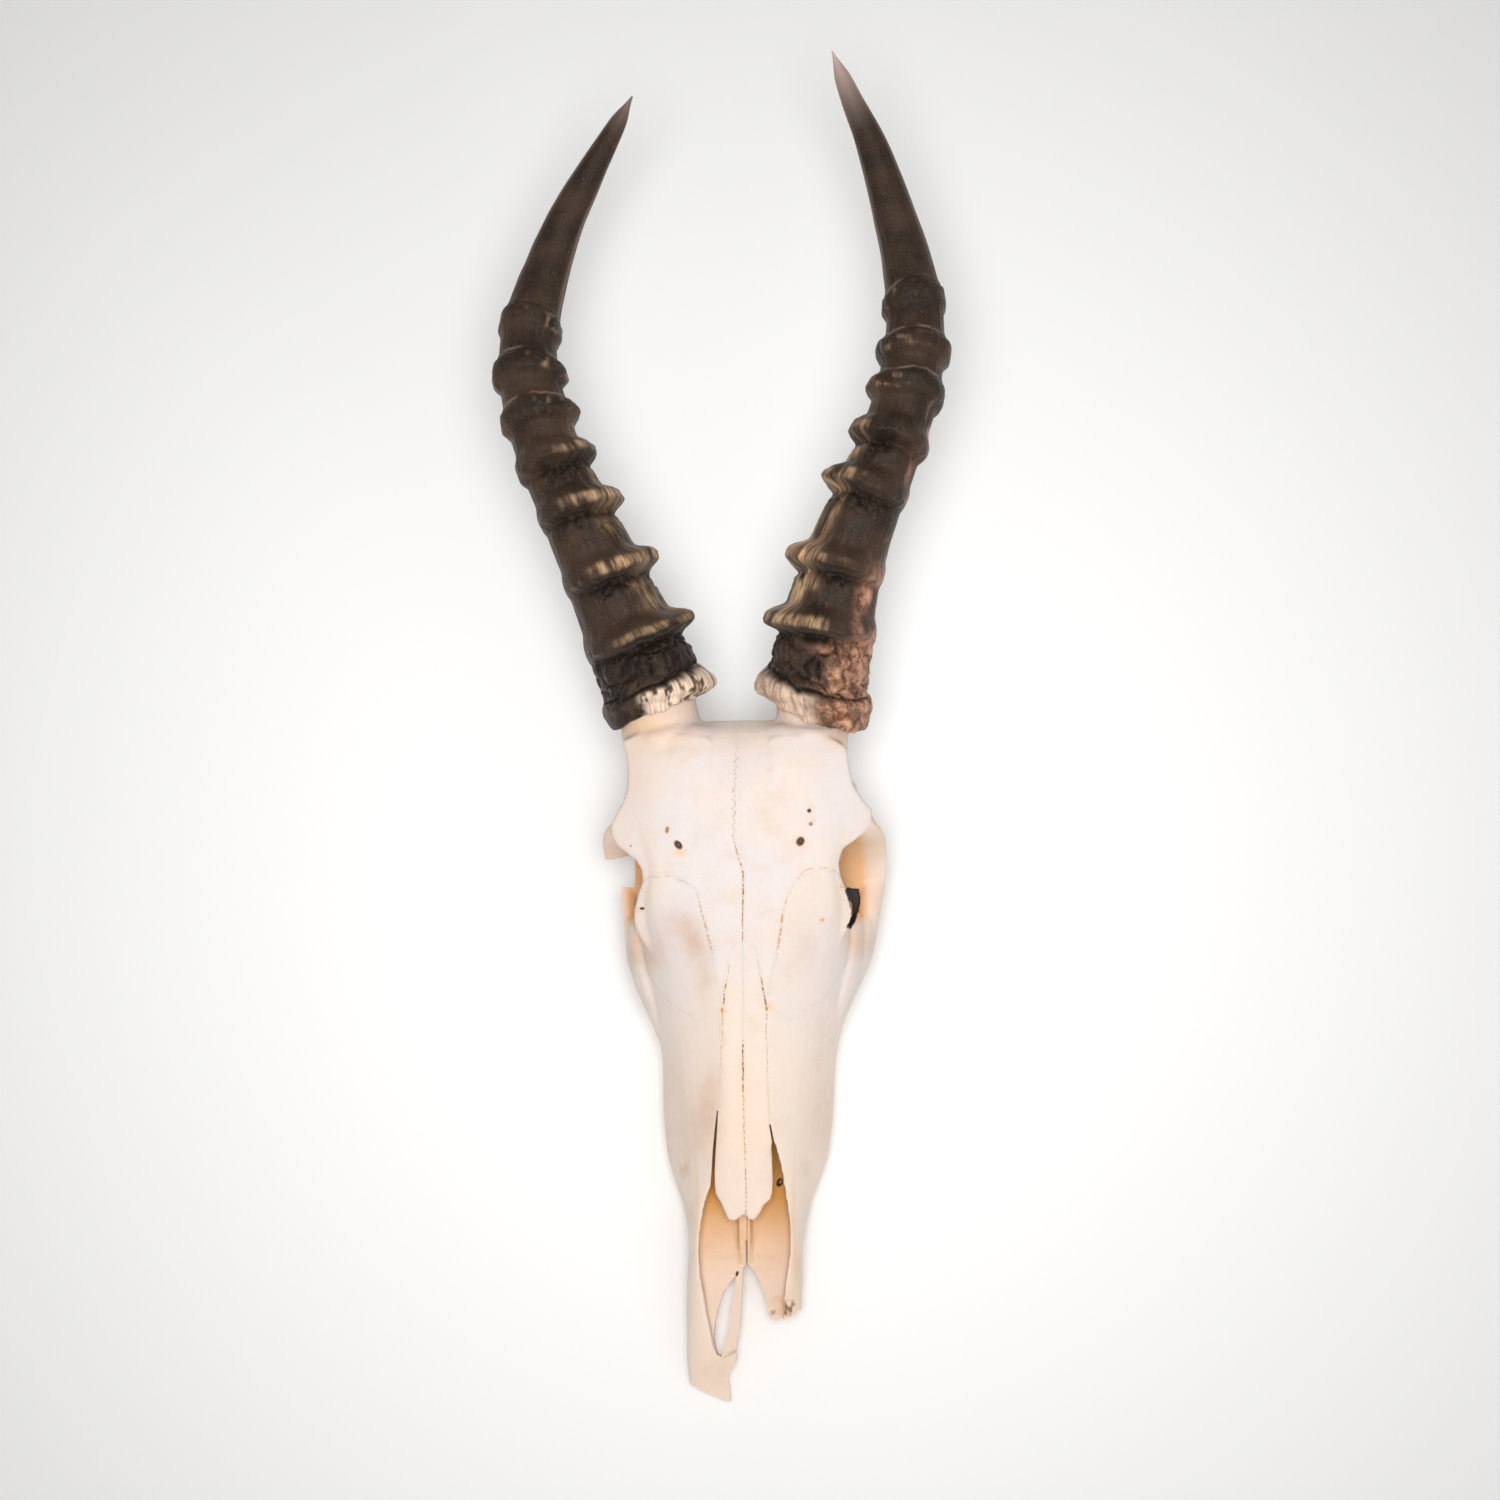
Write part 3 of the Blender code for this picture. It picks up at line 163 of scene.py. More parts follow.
# The face of the cheek in front of the orbit, and how it slopes down to the bar.
CHEEK_FACE = ((32.5, -56, -46, 5, 12), (37.2, -43, -40, 5.8, 14), (41.5, -30, -37, 6.4, 15),
              (44, -18, -39, 5.2, 12), (45.5, -9, -46, 3, 5))
CHEEK_SLOPE = ((34.5, -56, -50, 4, 8), (38, -43, -47, 5, 10.5), (43.8, -30, -45.5, 5.5, 11),
               (47.3, -18, -47, 5.3, 9), (49.5, -7, -52, 4, 5))
# The right cheek has lost a stretch of its bar, and the outer edge of the rest.
CHEEK_BREAK = ((-75, 6.5), (-46.8, 5), (-46.2, 11), (-46, 19.5), (-56, 17), (-75, 18))
CHEEK_EDGE = ((-40.5, -50), (-44.5, -38), (-48.4, -30), (-50, -24), (-50.7, -12), (-51.8, -4),
              (-52.3, 8), (-54, 12), (-90, 12), (-90, -50))
REAR_ORBIT_BAR = ((47.3, 31.5, -7, 3.8, 6.4), (48.3, 28, -18, 4, 9.2), (48, 24, -34, 4, 11),
                  (47.5, 17, -48, 4, 11.5), (48, 6, -57, 4, 10), (46, -8, -62, 3.6, 8),
                  (44, -18, -63, 3.6, 7))
FRONT_ORBIT_RIM = ((37, 2, -9, 3, 3), (39.5, -7, -16, 3, 3.4), (41.5, -11.5, -27, 3.2, 3.6),
                   (44, -13.5, -41, 3.6, 4), (47, -10, -53, 4, 4))
# The gap between the left lacrimal and the cheek, whose walls are painted near black as shade.
CHEEK_GAP = ((42, 3.6), (46.5, 3), (47.2, -1), (46.6, -5), (45.4, -10), (43.8, -12.7), (41.5, -10.5),
             (41.3, -8.5), (43, -7), (44.6, -4.5), (44, -2), (41.3, 0))
# The narrow slit in the end of the vomer.
VOMER_SLIT = ((-1.6, -142), (-1.2, -141), (-0.8, -142), (-0.7, -156), (-1.7, -156))
# Outlines from above that are cut away, with the lowest and highest Z of each cut.
BREAKS = (
    (CHEEK_BREAK, -80, -34), (CHEEK_EDGE, -80, -34), (CHEEK_GAP, -58, -10), (RIGHT_SLIT, -16, 30),
    (LEFT_SLIT, -16, 30), (RIGHT_FISSURE, -60, 30), (BROKEN_FRONT, -60, 30), (RIGHT_FRONT_CORNER, -60, 30),
    (VOMER_SLIT, -40, 30),
)
ORBIT_CENTRE, ORBIT_RADII = (54, 12, -32), (29, 23.5, 25)
TEMPLE_CENTRE, TEMPLE_RADII = (54, 52, -36), (18, 17, 22)

# The vomer's X, and how far each of its blades stands off it.
VOMER_MIDDLE, VOMER_SPREAD = -1.9, 1.6
# The vomer's two blades and its foot, as Y, Z, half the width and half the height.
VOMER_BLADE = ((-66, -30, 1.4, 15), (-90, -29, 1.4, 14), (-120, -27, 1.3, 8), (-136, -27, 1.3, 5),
               (-152, -31, 1.2, 2))
VOMER_FOOT = ((-66, -48, 3.5, 4), (-100, -38.5, 3.5, 3), (-151, -27.5, 3, 2))

# Bars of the back and base of the skull, as stations of X, Y, Z, half the width and half the
# height. The paracondylar and mastoid bars stand upright.
CONDYLE = ((9, 56, -90, 7, 9), (14, 62, -97, 8.5, 11), (17, 57, -93, 6, 9))
EAR = ((24, 50, -74, 5, 5), (33, 53, -75, 5, 5), (38.5, 54, -75, 4.5, 4.5))
PARACONDYLAR = ((30, 62, -76, 4, 7), (28, 57, -92, 3.5, 5.5), (25.5, 51, -108, 2.4, 3))
MASTOID = ((37, 58, -60, 4, 5), (36, 62, -72, 4.5, 5), (31, 63, -84, 4, 5))
CREST = ((0, 70, -50, 3.5, 4), (18, 69, -52, 3.5, 4), (32, 64, -58, 3.5, 4), (38, 56, -64, 3, 4))
SKULL_BASE = ((0, 55, -92, 13, 5), (0, 36, -86, 11, 6), (0, 10, -70, 9, 6))
BRAIN_OPENING = ((0, 58, -83, 8, 7), (0, 68, -86, 9.5, 8), (0, 82, -89, 11, 10))
PTERYGOID = ((14, -34, -60, 2, 7), (12.5, -16, -64, 1.6, 9), (12, 4, -70, 1.6, 7), (12, 16, -76, 2, 3))
# Rounded forms: the middle and the half sizes.
BULLA = ((20, 42, -86), (7.5, 12, 10))
JAW_JOINT = ((38, 44, -62), (9, 7, 5))
BETWEEN_STUMPS = ((19, 66, -13), (14, 7, 10.4))
THROAT_SIDE = ((27, -4, -64), (10, 26, 15))
CHOANA = ((0, -12, -60), (9.5, 26, 13))

# The cheek teeth from front to back: length, width, and X, Y of the crown's middle.
TEETH = ((8, 7.5, 22.5, -121.5), (10, 9.5, 24.5, -112.5), (11.5, 11.5, 26, -102),
         (15.5, 13.5, 27.3, -88.7), (18, 14.5, 28, -72), (19.5, 14, 28, -53.2))
BITE_FRONT, BITE_BACK = (-128, -52), (-41, -80)
CROWN_HEIGHT, ROOT_DEPTH = 12.5, 9.0
# From this length a tooth has two pillars. A pillar's half length is this share of its room.
TWO_PILLARS_FROM, PILLAR_SHARE, PILLAR_SIDES, CROWN_TAPER = 9.0, 0.54, 12, 0.94

# Horns: the line of the axis from above as X, Y pairs, for each side.
HORN_LINE = {
    RIGHT: ((-34.5, 77), (-37.4, 91.5), (-47.5, 116.5), (-58.2, 141.5), (-69, 166), (-79.3, 191),
            (-85.6, 217), (-85, 238), (-79.3, 259), (-71, 281), (-60.5, 301), (-48.8, 321), (-41.4, 333.6)),
    LEFT: ((31.9, 77), (32.2, 91), (37, 115), (43.8, 139.5), (53.8, 164.5), (64.2, 189), (72, 213),
           (74.7, 238.5), (71.5, 263), (65, 288), (57.4, 312.5), (49.5, 331), (41.8, 350.9)),
}
HORN_BASE_Z = -22.0
# How far the horn leans out of the face's plane, in degrees, along its length.
HORN_LEAN = ((0, 12), (0.25, 6), (0.6, -13), (0.8, -2), (1, 16))
# Half the thickness of the horn between its rings, along its length.
HORN_RADII = ((0, 21.6), (0.08, 20.7), (0.17, 18), (0.28, 15.5), (0.37, 14), (0.5, 13),
              (0.58, 12), (0.65, 10.9), (0.76, 8.6), (0.84, 6.9), (0.91, 5), (0.96, 3.4), (1, 0.4))
# Rings of the horn: their places along it, then how far each crest stands out on the side
# next to the other horn, in front, on the outer side and behind.
RING_PLACES = {
    RIGHT: (0.024, 0.125, 0.228, 0.333, 0.41, 0.478, 0.545, 0.617),
    LEFT: (0.028, 0.128, 0.217, 0.335, 0.412, 0.482, 0.542, 0.615),
}
RING_CRESTS = ((4, 3, 1.2, 2), (7, 5.5, 1.2, 1), (7, 5.5, 1, 1), (6.2, 5, 1.2, 1), (5, 4.4, 2.4, 1.2),
               (4, 3.8, 2.6, 1.6), (3.4, 3.2, 3.2, 1.8), (2, 2.2, 1.8, 1.6))
# How far a ring climbs towards the front, and sinks towards the other horn.
RING_RISE, RING_DROP = 3.4, 2.0
# How finely a horn's line is drawn and walked, and how far its direction is measured either way.
LINE_STEPS, AXIS_STEPS, AXIS_REACH = 24, 400, 4
# The stump of each horn: X, Y, Z of the middle, then half the width and half the height.
PEDICEL = {
    RIGHT: ((-27, 40, -17, 19, 13), (-29.5, 55, -21, 18, 18.5), (-32.5, 67, -22.6, 17, 19.6)),
    LEFT: ((25.5, 40, -17, 18, 13), (27, 55, -21, 16.6, 18.5), (29, 67, -22.6, 15.2, 19.6)),
}
# How far the stump's end stands off the horn's axis towards the midline, and its radius.
STUMP_END = {RIGHT: (0.0, 16.4), LEFT: (2.4, 15.0)}
# How far below the horn's base the stump begins to follow its axis, and the stump's sides.
STUMP_LEAD, STUMP_SIDES = 2.0, 24
# How far the stump reaches into the sheath, and the room that the socket leaves round it.
SOCKET_DEPTH, SOCKET_ROOM = 11.0, 1.0
# How far the sheath's rim rises all round, then more on its inner and on its front side,
# and over what share of the horn this fades.
RIM = {RIGHT: (1.5, 4.5, 3.5), LEFT: (1.0, 7.0, -2.0)}
RIM_LENGTH = 0.12


def mixed(table, at):
    """The value that a table of place and value rows has at a place, smoothly joined."""
    places, values = zip(*table)
    for i in range(len(places) - 1):
        if at <= places[i + 1] or i == len(places) - 2:
            t = (at - places[i]) / (places[i + 1] - places[i])
            t = min(max(t, 0.0), 1.0)
            before = values[max(i - 1, 0)]
            after = values[min(i + 2, len(values) - 1)]
            a, b = values[i], values[i + 1]
            return 0.5 * (
                2 * a + (b - before) * t
                + (2 * before - 5 * a + 4 * b - after) * t**2
                + (3 * a - before - 3 * b + after) * t**3
            )
    return values[-1]


def looked_up(table, at):
    """What a table of place and value rows has at places, joined by straight lines."""
    return np.interp(at, *zip(*table))


def curve(rows, steps, closed=False):
    """Points of a smooth curve through rows of numbers, with so many steps to a span."""
    rows = np.asarray(rows, float)
    if closed:
        ends = np.vstack([rows[-1:], rows, rows[:2]])
    else:
        ends = np.vstack([2 * rows[0] - rows[1], rows, 2 * rows[-1] - rows[-2]])
    t = (np.arange(steps) / steps)[:, None]
    spans = [
        0.5 * (2 * b + (c - a) * t + (2 * a - 5 * b + 4 * c - d) * t**2 + (3 * b - a - 3 * c + d) * t**3)
        for a, b, c, d in zip(ends, ends[1:], ends[2:], ends[3:])
    ]
    return np.vstack(spans if closed else spans + [rows[-1:]])


def new_object(name, mesh_or_bm):
    """An object in the scene, from a mesh or a bmesh with its faces turned outwards."""
    mesh = mesh_or_bm
    if isinstance(mesh, bmesh.types.BMesh):
        bmesh.ops.recalc_face_normals(mesh_or_bm, faces=mesh_or_bm.faces)
        if mesh_or_bm.calc_volume(signed=True) < 0:
            bmesh.ops.reverse_faces(mesh_or_bm, faces=mesh_or_bm.faces)
        mesh = bpy.data.meshes.new(name)
        mesh_or_bm.to_mesh(mesh)
        mesh_or_bm.free()
    made = bpy.data.objects.new(name, mesh)
    bpy.context.scene.collection.objects.link(made)
    return made


def remove(made):
    """Takes an object and its mesh out of the file."""
    mesh = made.data
    bpy.data.objects.remove(made)
    bpy.data.meshes.remove(mesh)


def skin(name, rings, told=()):
    """A closed skin over rings of points, which keeps the numbers told for each point by name."""
    count, last = len(rings[0]), len(rings) - 1
    bm = bmesh.new()
    bmesh.ops.create_cone(bm, cap_ends=True, segments=count, radius1=1, radius2=1, depth=last)
    sides = [e for e in bm.edges if abs(e.verts[0].co.z - e.verts[1].co.z) > 0.5]
    bmesh.ops.subdivide_edges(bm, edges=sides, cuts=last - 1)
    layers = [(bm.verts.layers.float.new(word), values) for word, values in dict(told).items()]
    for vert in bm.verts:
        ring = round(vert.co.z + last / 2)
        turn = round(math.atan2(vert.co.y, vert.co.x) / math.tau * count) % count
        vert.co = rings[ring][turn]
        for layer, values in layers:
            vert[layer] = values[ring][turn]
    bmesh.ops.poke(bm, faces=[f for f in bm.faces if len(f.verts) > 4])
    return new_object(name, bm)


def bend(y):
    """How far the middle of the head strays sideways at a Y."""
    return float(looked_up(HEAD_BEND, y))


def section_loft(name, sections, steps_along=3, steps_round=4):
    """A closed skin over sections given by one half of their outlines."""
    table = []
    for y, *half in sections:
        whole = half + [(-x, z) for x, z in half[-2:0:-1]]
        table.append([y] + [value for pair in whole for value in pair])
    rings = []
    for row in curve(table, steps_along):
        outline = curve(row[1:].reshape(-1, 2), steps_round, closed=True)
        rings.append([(x + bend(row[0]), row[0], z) for x, z in outline])
    return skin(name, rings)


def bar(name, stations, side=LEFT, up=(0, 0, 1), steps=4, round_count=16):
    """A bent bar through stations of X, Y, Z, half its width and half its height."""
    rows = curve(stations, steps) * (side, 1, 1, 1, 1)
    rings = []
    for i, row in enumerate(rows):
        along = Vector(rows[min(i + 1, len(rows) - 1)][:3] - rows[max(i - 1, 0)][:3]).normalized()
        across = along.cross(Vector(up)).normalized()
        over = across.cross(along)
        middle = Vector(row[:3])
        turns = [math.tau * k / round_count for k in range(round_count)]
        rings.append([middle + across * row[3] * math.cos(a) + over * row[4] * math.sin(a) for a in turns])
    return skin(name, rings)


def ball(name, centre, radii, side=LEFT, turn=0.0):
    """An ellipsoid, turned about X by so many degrees."""
    bm = bmesh.new()
    place = (
        Matrix.Translation((centre[0] * side, centre[1], centre[2]))
        @ Matrix.Rotation(math.radians(turn), 4, "X")
        @ Matrix.Diagonal((*radii, 1))
    )
    bmesh.ops.create_uvsphere(bm, u_segments=24, v_segments=16, radius=1, matrix=place)
    return new_object(name, bm)


def prism(name, outline, low, high, axis=2):
    """A prism on an outline in the plane across an axis, from one place along it to another."""
    bm = bmesh.new()
    corners = []
    for pair in outline:
        place = list(pair)
        place.insert(axis, low)
        corners.append(bm.verts.new(place))
    far = bmesh.ops.extrude_face_region(bm, geom=[bm.faces.new(corners)])["geom"]
    shift = [0, 0, 0]
    shift[axis] = high - low
    moved = [v for v in far if isinstance(v, bmesh.types.BMVert)]
    bmesh.ops.translate(bm, vec=shift, verts=moved)
    return new_object(name, bm)


def sliced(made, axis, spacing):
    """Adds rows of vertices across a prism, so that it can be bent."""
    bm = bmesh.new()
    bm.from_mesh(made.data)
    places = [v.co[axis] for v in bm.verts]
    at = min(places) + spacing
    normal = [0, 0, 0]
    normal[axis] = 1
    while at < max(places) - spacing / 2:
        point = [0, 0, 0]
        point[axis] = at
        geometry = bm.verts[:] + bm.edges[:] + bm.faces[:]
        bmesh.ops.bisect_plane(bm, geom=geometry, plane_co=point, plane_no=normal)
        at += spacing
    bmesh.ops.triangulate(bm, faces=bm.faces)
    bm.to_mesh(made.data)
    bm.free()


def applied(made, kind, **settings):
    """Gives an object a modifier and makes its result the object's own mesh."""
    modifier = made.modifiers.new(kind.lower(), kind)
    for key, value in settings.items():
        setattr(modifier, key, value)
    graph = bpy.context.evaluated_depsgraph_get()
    old = made.data
    made.data = bpy.data.meshes.new_from_object(made.evaluated_get(graph))
    made.modifiers.clear()
    bpy.data.meshes.remove(old)


def combine(target, other, operation):
    """Cuts or joins one closed object with another, which is used up."""
    applied(target, "BOOLEAN", operation=operation, object=other, solver="MANIFOLD")
    remove(other)


def merged(name, forms, voxel):
    """One smooth closed skin round overlapping forms."""
    bm = bmesh.new()
    for form in forms:
        bm.from_mesh(form.data)
    for form in forms:
        remove(form)
    mesh = bpy.data.meshes.new(name)
    bm.to_mesh(mesh)
    bm.free()
    whole = new_object(name, mesh)
    applied(whole, "REMESH", mode="VOXEL", voxel_size=voxel)
    return whole


def keep_largest(made):
    """Leaves only the largest closed surface of an object."""
    bm = bmesh.new()
    bm.from_mesh(made.data)
    left, pieces = set(bm.faces), []
    while left:
        piece, waiting = set(), [left.pop()]
        while waiting:
            face = waiting.pop()
            piece.add(face)
            near = {f for e in face.edges for f in e.link_faces} & left
            left -= near
            waiting.extend(near)
        pieces.append(piece)
    pieces.sort(key=lambda faces: sum(f.calc_area() for f in faces))
    scraps = [face for piece in pieces[:-1] for face in piece]
    bmesh.ops.delete(bm, geom=scraps, context="FACES")
    bm.to_mesh(made.data)
    bm.free()


def floor_z(y):
    """Height of the floor of the nose at a Y."""
    return float(looked_up(NOSE_FLOOR, y))


def brow_plate(side):
    """The roof of the orbit, domed, with its edge and the process behind the orbit."""
    plate = prism("brow", BROW[side], -BROW_THICK, 0)
    sliced(plate, 0, SLICE_ACROSS)
    sliced(plate, 1, SLICE_ALONG)
    for vert in plate.data.vertices:
        reach = max(abs(vert.co.x) - DOME_EDGE, 0)
        vert.co.z += BROW_TOP - DOME_FALL * reach**2 - DIP_SLOPE * max(DIP_START - vert.co.y, 0)
        vert.co.z -= FALL_RATE * max(vert.co.y - FALL_START, 0) ** 2
    return plate


def bite_z(y):
    """Height of the plane in which the cheek teeth bite."""
    (y0, z0), (y1, z1) = BITE_FRONT, BITE_BACK
    return z0 + (z1 - z0) * (y - y0) / (y1 - y0)


def tooth(side, length, width, x, y):
    """A cheek tooth: two rounded pillars side by side, with the root in the jaw."""
    tilt = math.atan2(BITE_BACK[1] - BITE_FRONT[1], BITE_BACK[0] - BITE_FRONT[0])
    depth = CROWN_HEIGHT + ROOT_DEPTH
    pillars = 1 if length < TWO_PILLARS_FROM else 2
    made = []
    for k in range(pillars):
        shift = (k - (pillars - 1) / 2) * length / pillars
        bm = bmesh.new()
        place = (
            Matrix.Translation((x * side + bend(y), y + shift, bite_z(y + shift) + depth / 2))
            @ Matrix.Rotation(tilt, 4, "X")
            @ Matrix.Diagonal((width / 2, length / pillars * PILLAR_SHARE, 1, 1))
        )
        bmesh.ops.create_cone(
            bm, cap_ends=True, segments=PILLAR_SIDES, radius1=CROWN_TAPER, radius2=1, depth=depth,
            matrix=place
        )
        made.append(new_object("tooth", bm))
    return made


def solid_forms():
    """The head before it is hollowed, with the brows, the back of the skull and the stumps of the horns."""
    forms = [section_loft("head", HEAD_SECTIONS)]
    for side in (LEFT, RIGHT):
        forms += [
            brow_plate(side),
            bar("condyle", CONDYLE, side),
            ball("bulla", *BULLA, side),
            bar("ear", EAR, side),
            bar("paracondylar", PARACONDYLAR, side, up=STANDING),
            bar("mastoid", MASTOID, side, up=STANDING),
            bar("crest", CREST, side),
            ball("jaw_joint", *JAW_JOINT, side),
            pedicel(side, 0.0, SOCKET_DEPTH),
            ball("between_stumps", *BETWEEN_STUMPS, side),
        ]
    forms.append(bar("skull_base", SKULL_BASE))
    return forms


def hollow_forms():
    """What is cut out of the head: the nose, the orbits, temples, choana and brain opening."""
    aperture = prism("aperture", RIGHT_WALL_EDGE + LEFT_WALL_EDGE + NASAL_TIPS, 0, ABOVE_ALL)
    sliced(aperture, 1, SLICE_ALONG)
    for vert in aperture.data.vertices:
        vert.co.z = floor_z(vert.co.y) if vert.co.z < NOSE_TOP else NOSE_TOP
    forms = [section_loft("nasal_cavity", CAVITY_SECTIONS), aperture]
    for side in (LEFT, RIGHT):
        forms += [
            ball("orbit", ORBIT_CENTRE, ORBIT_RADII, side),
            ball("temple", TEMPLE_CENTRE, TEMPLE_RADII, side),
            ball("throat_side", *THROAT_SIDE, side),
        ]
    return forms + [ball("choana", *CHOANA), bar("brain_opening", BRAIN_OPENING)]


def thin_forms():
    """Bars and plates that are added once the hollows are cut."""
    forms = []
    for side in (LEFT, RIGHT):
        forms += [
            bar("cheek", CHEEK_BAR, side),
            bar("cheek_face", CHEEK_FACE, side),
            bar("cheek_slope", CHEEK_SLOPE, side),
            bar("rear_bar", REAR_ORBIT_BAR, side, up=STANDING),
            bar("front_rim", FRONT_ORBIT_RIM, side, up=STANDING),
            bar("pterygoid", PTERYGOID, side),
        ]
        for size in TEETH:
            forms += tooth(side, *size)
    for x in (VOMER_MIDDLE - VOMER_SPREAD, VOMER_MIDDLE + VOMER_SPREAD):
        forms.append(bar("vomer", [(x, *row) for row in VOMER_BLADE]))
    forms.append(bar("vomer_foot", [(VOMER_MIDDLE, *row) for row in VOMER_FOOT]))
    return forms


def horn_axis(side):
    """Points up the middle of a horn, evenly spaced, with their place from 0 to 1."""
    flat = curve(HORN_LINE[side], LINE_STEPS)
    lengths = np.concatenate([[0], np.cumsum(np.hypot(*np.diff(flat, axis=0).T))])
    places = np.linspace(0, 1, AXIS_STEPS + 1)
    xs = np.interp(places * lengths[-1], lengths, flat[:, 0])
    ys = np.interp(places * lengths[-1], lengths, flat[:, 1])
    slopes = [math.tan(math.radians(mixed(HORN_LEAN, s))) for s in places]
    rise = np.concatenate([[0], np.cumsum(np.array(slopes[1:]) * lengths[-1] / AXIS_STEPS)])
    return places, np.column_stack([xs, ys, HORN_BASE_Z + rise])


def horn_frame(points, i):
    """The direction along a horn at a point, that towards the other horn, and the front."""
    before, after = points[max(i - AXIS_REACH, 0)], points[min(i + AXIS_REACH, len(points) - 1)]
    along = Vector(after - before).normalized()
    inward = Vector((-math.copysign(1, points[0][0]), 0, 0))
    inward = (inward - along * inward.dot(along)).normalized()
    front = along.cross(inward)
    if front.z < 0:
        front.negate()
    return along, inward, front


def pedicel(side, grow, depth):
    """The bony stump of a horn, which ends so far inside the sheath."""
    places, points = horn_axis(side)
    along, _, _ = horn_frame(points, 0)
    base, end = Vector(points[0]), Vector(points[0]) + along * depth
    inwards, radius = STUMP_END[side]
    stations = list(PEDICEL[side])
    for point in (base - along * STUMP_LEAD, end):
        stations.append((point.x - inwards * side, point.y, point.z, radius, radius))
    stations = [(x, y, z, w + grow, h + grow) for x, y, z, w, h in stations]
    return bar("pedicel", stations, steps=3, round_count=STUMP_SIDES)


def grown(outline, by):
    """The outline moved outwards by a distance, whichever way round its points run."""
    points = [Vector(p) for p in outline]
    turns = sum(a.cross(b) for a, b in zip(points, points[1:] + points[:1]))
    if turns < 0:
        points.reverse()
    moved = []
    for before, point, after in zip(points[-1:] + points, points, points[1:] + points[:1]):
        first = (point - before).normalized()
        second = (after - point).normalized()
        a, b = Vector((first.y, -first.x)), Vector((second.y, -second.x))
        moved.append(tuple(point + (a + b) * by / max(1 + a.dot(b), SHARPEST)))
    return moved


# How much a sharp corner of an outline may run out when the outline is moved.
SHARPEST = 0.4
# The outlines of the bones: plans as X and Y seen from above, profiles as Y and Z from the side.
NASAL_EDGES = {
    LEFT: ((14, -140), (14, -121), (12.6, -110), (11, -101), (9.8, -94), (9.3, -72), (9.1, -45.6),
           (7.2, -31), (5.4, -19.5), (2.6, -17.4)),
    RIGHT: ((-14.2, -140), (-14.2, -115), (-13.3, -103), (-12.7, -97), (-11.7, -88), (-11, -72),
            (-9.9, -45.3), (-8, -32), (-5.6, -21), (-2.6, -17.4)),
}
FRONTAL_PLAN = ((9.2, -43), (13.9, -20), (16.3, -8), (18.6, 2.5), (23.5, 8.4), (31.5, 12.2),
                (38.5, 10.5), (44, 6.5), (75, 6.5), (75, 120))
FRONTAL_PROFILE = ((-60, 20), (-60, -7), (-20, -9), (0, -11), (20, -22), (40, -26), (50, -28),
                   (62, -36), (80, -50), (120, -50), (120, 20))
LACRIMAL_PLAN = ((9.2, -43), (19, -50), (33, -41), (43, -26), (56, -14), (58, 8), (30, 16), (9.2, 16))
LACRIMAL_PROFILE = ((-60, 20), (-60, -22), (-30, -28), (-8, -35), (20, -36), (20, 20))
CHEEK_PLAN = {
    LEFT: ((39.5, -52), (75, -52), (75, 46), (46, 46), (43, 38), (35.5, 30), (35.5, 2), (40, -6),
           (40.5, -16)),
    RIGHT: ((-39.5, -52), (-75, -52), (-75, 12), (-35.5, 12), (-35.5, 2), (-40, -6), (-40.5, -16)),
}
# The rest of the bar behind the right orbit, above the break of the cheek.
ORBIT_BAR_PLAN = ((-36, 10), (-75, 10), (-75, 46), (-46, 46), (-43, 38), (-36, 30))
ORBIT_BAR_PROFILE = ((10, -52), (10, -16), (50, -16), (50, -48))
CHEEK_PROFILE = ((-42, -70), (-42, -48), (-25, -38), (-8, -16), (50, -16), (50, -75))
PREMAXILLA_PROFILE = ((-230, 30), (-91, 30), (-91, -7), (-152, -42), (-152, -60), (-230, -60))
MAXILLA_PROFILE = ((-230, 30), (-22, 30), (-32, -30), (-36, -100), (-230, -100))
NASAL_PROFILE = ((-145, 20), (-145, -14), (-95, -11.5), (-62, -8), (-10, -6), (-10, 20))
VOMER_PROFILE = ((-153, -26.4), (-153, 0), (-150, -11.4), (-110, -9.4), (-60, -8.5), (-60, -51.5),
                 (-90, -41.8), (-130, -30.2))
VOMER_HALF, VOMER_REACH = 4.9, (-153, -62)
# How far back, forward and out the plans reach, and where some bones end along the midline.
BACK_Y, FRONT_Y, SIDE_X = 120, -230, 80
NASAL_TOP, NASAL_FRONT, FRONTAL_FRONT = -17.2, -140, -60


def half_plan(side, top, bottom, outer):
    """A plan between the midline, from one Y down to another, and an outer edge."""
    ys = [top] + [y for _, y in MIDLINE if bottom < y < top] + [bottom]
    middle = [(float(np.interp(-y, [-m[1] for m in MIDLINE], [m[0] for m in MIDLINE])), y) for y in ys]
    return middle + [(abs(x) * side, y) for x, y in outer]


def bone_region(name, plan, profile, side, by):
    """The space of one bone: a prism on a plan, cut by a prism on a profile."""
    region = prism(name, grown(plan, by), BELOW_ALL, ABOVE_ALL)
    low, high = sorted((side * -SIDE_X / 4, side * SIDE_X))
    combine(region, prism("profile", grown(profile, by), low, high, axis=0), "INTERSECT")
    return region


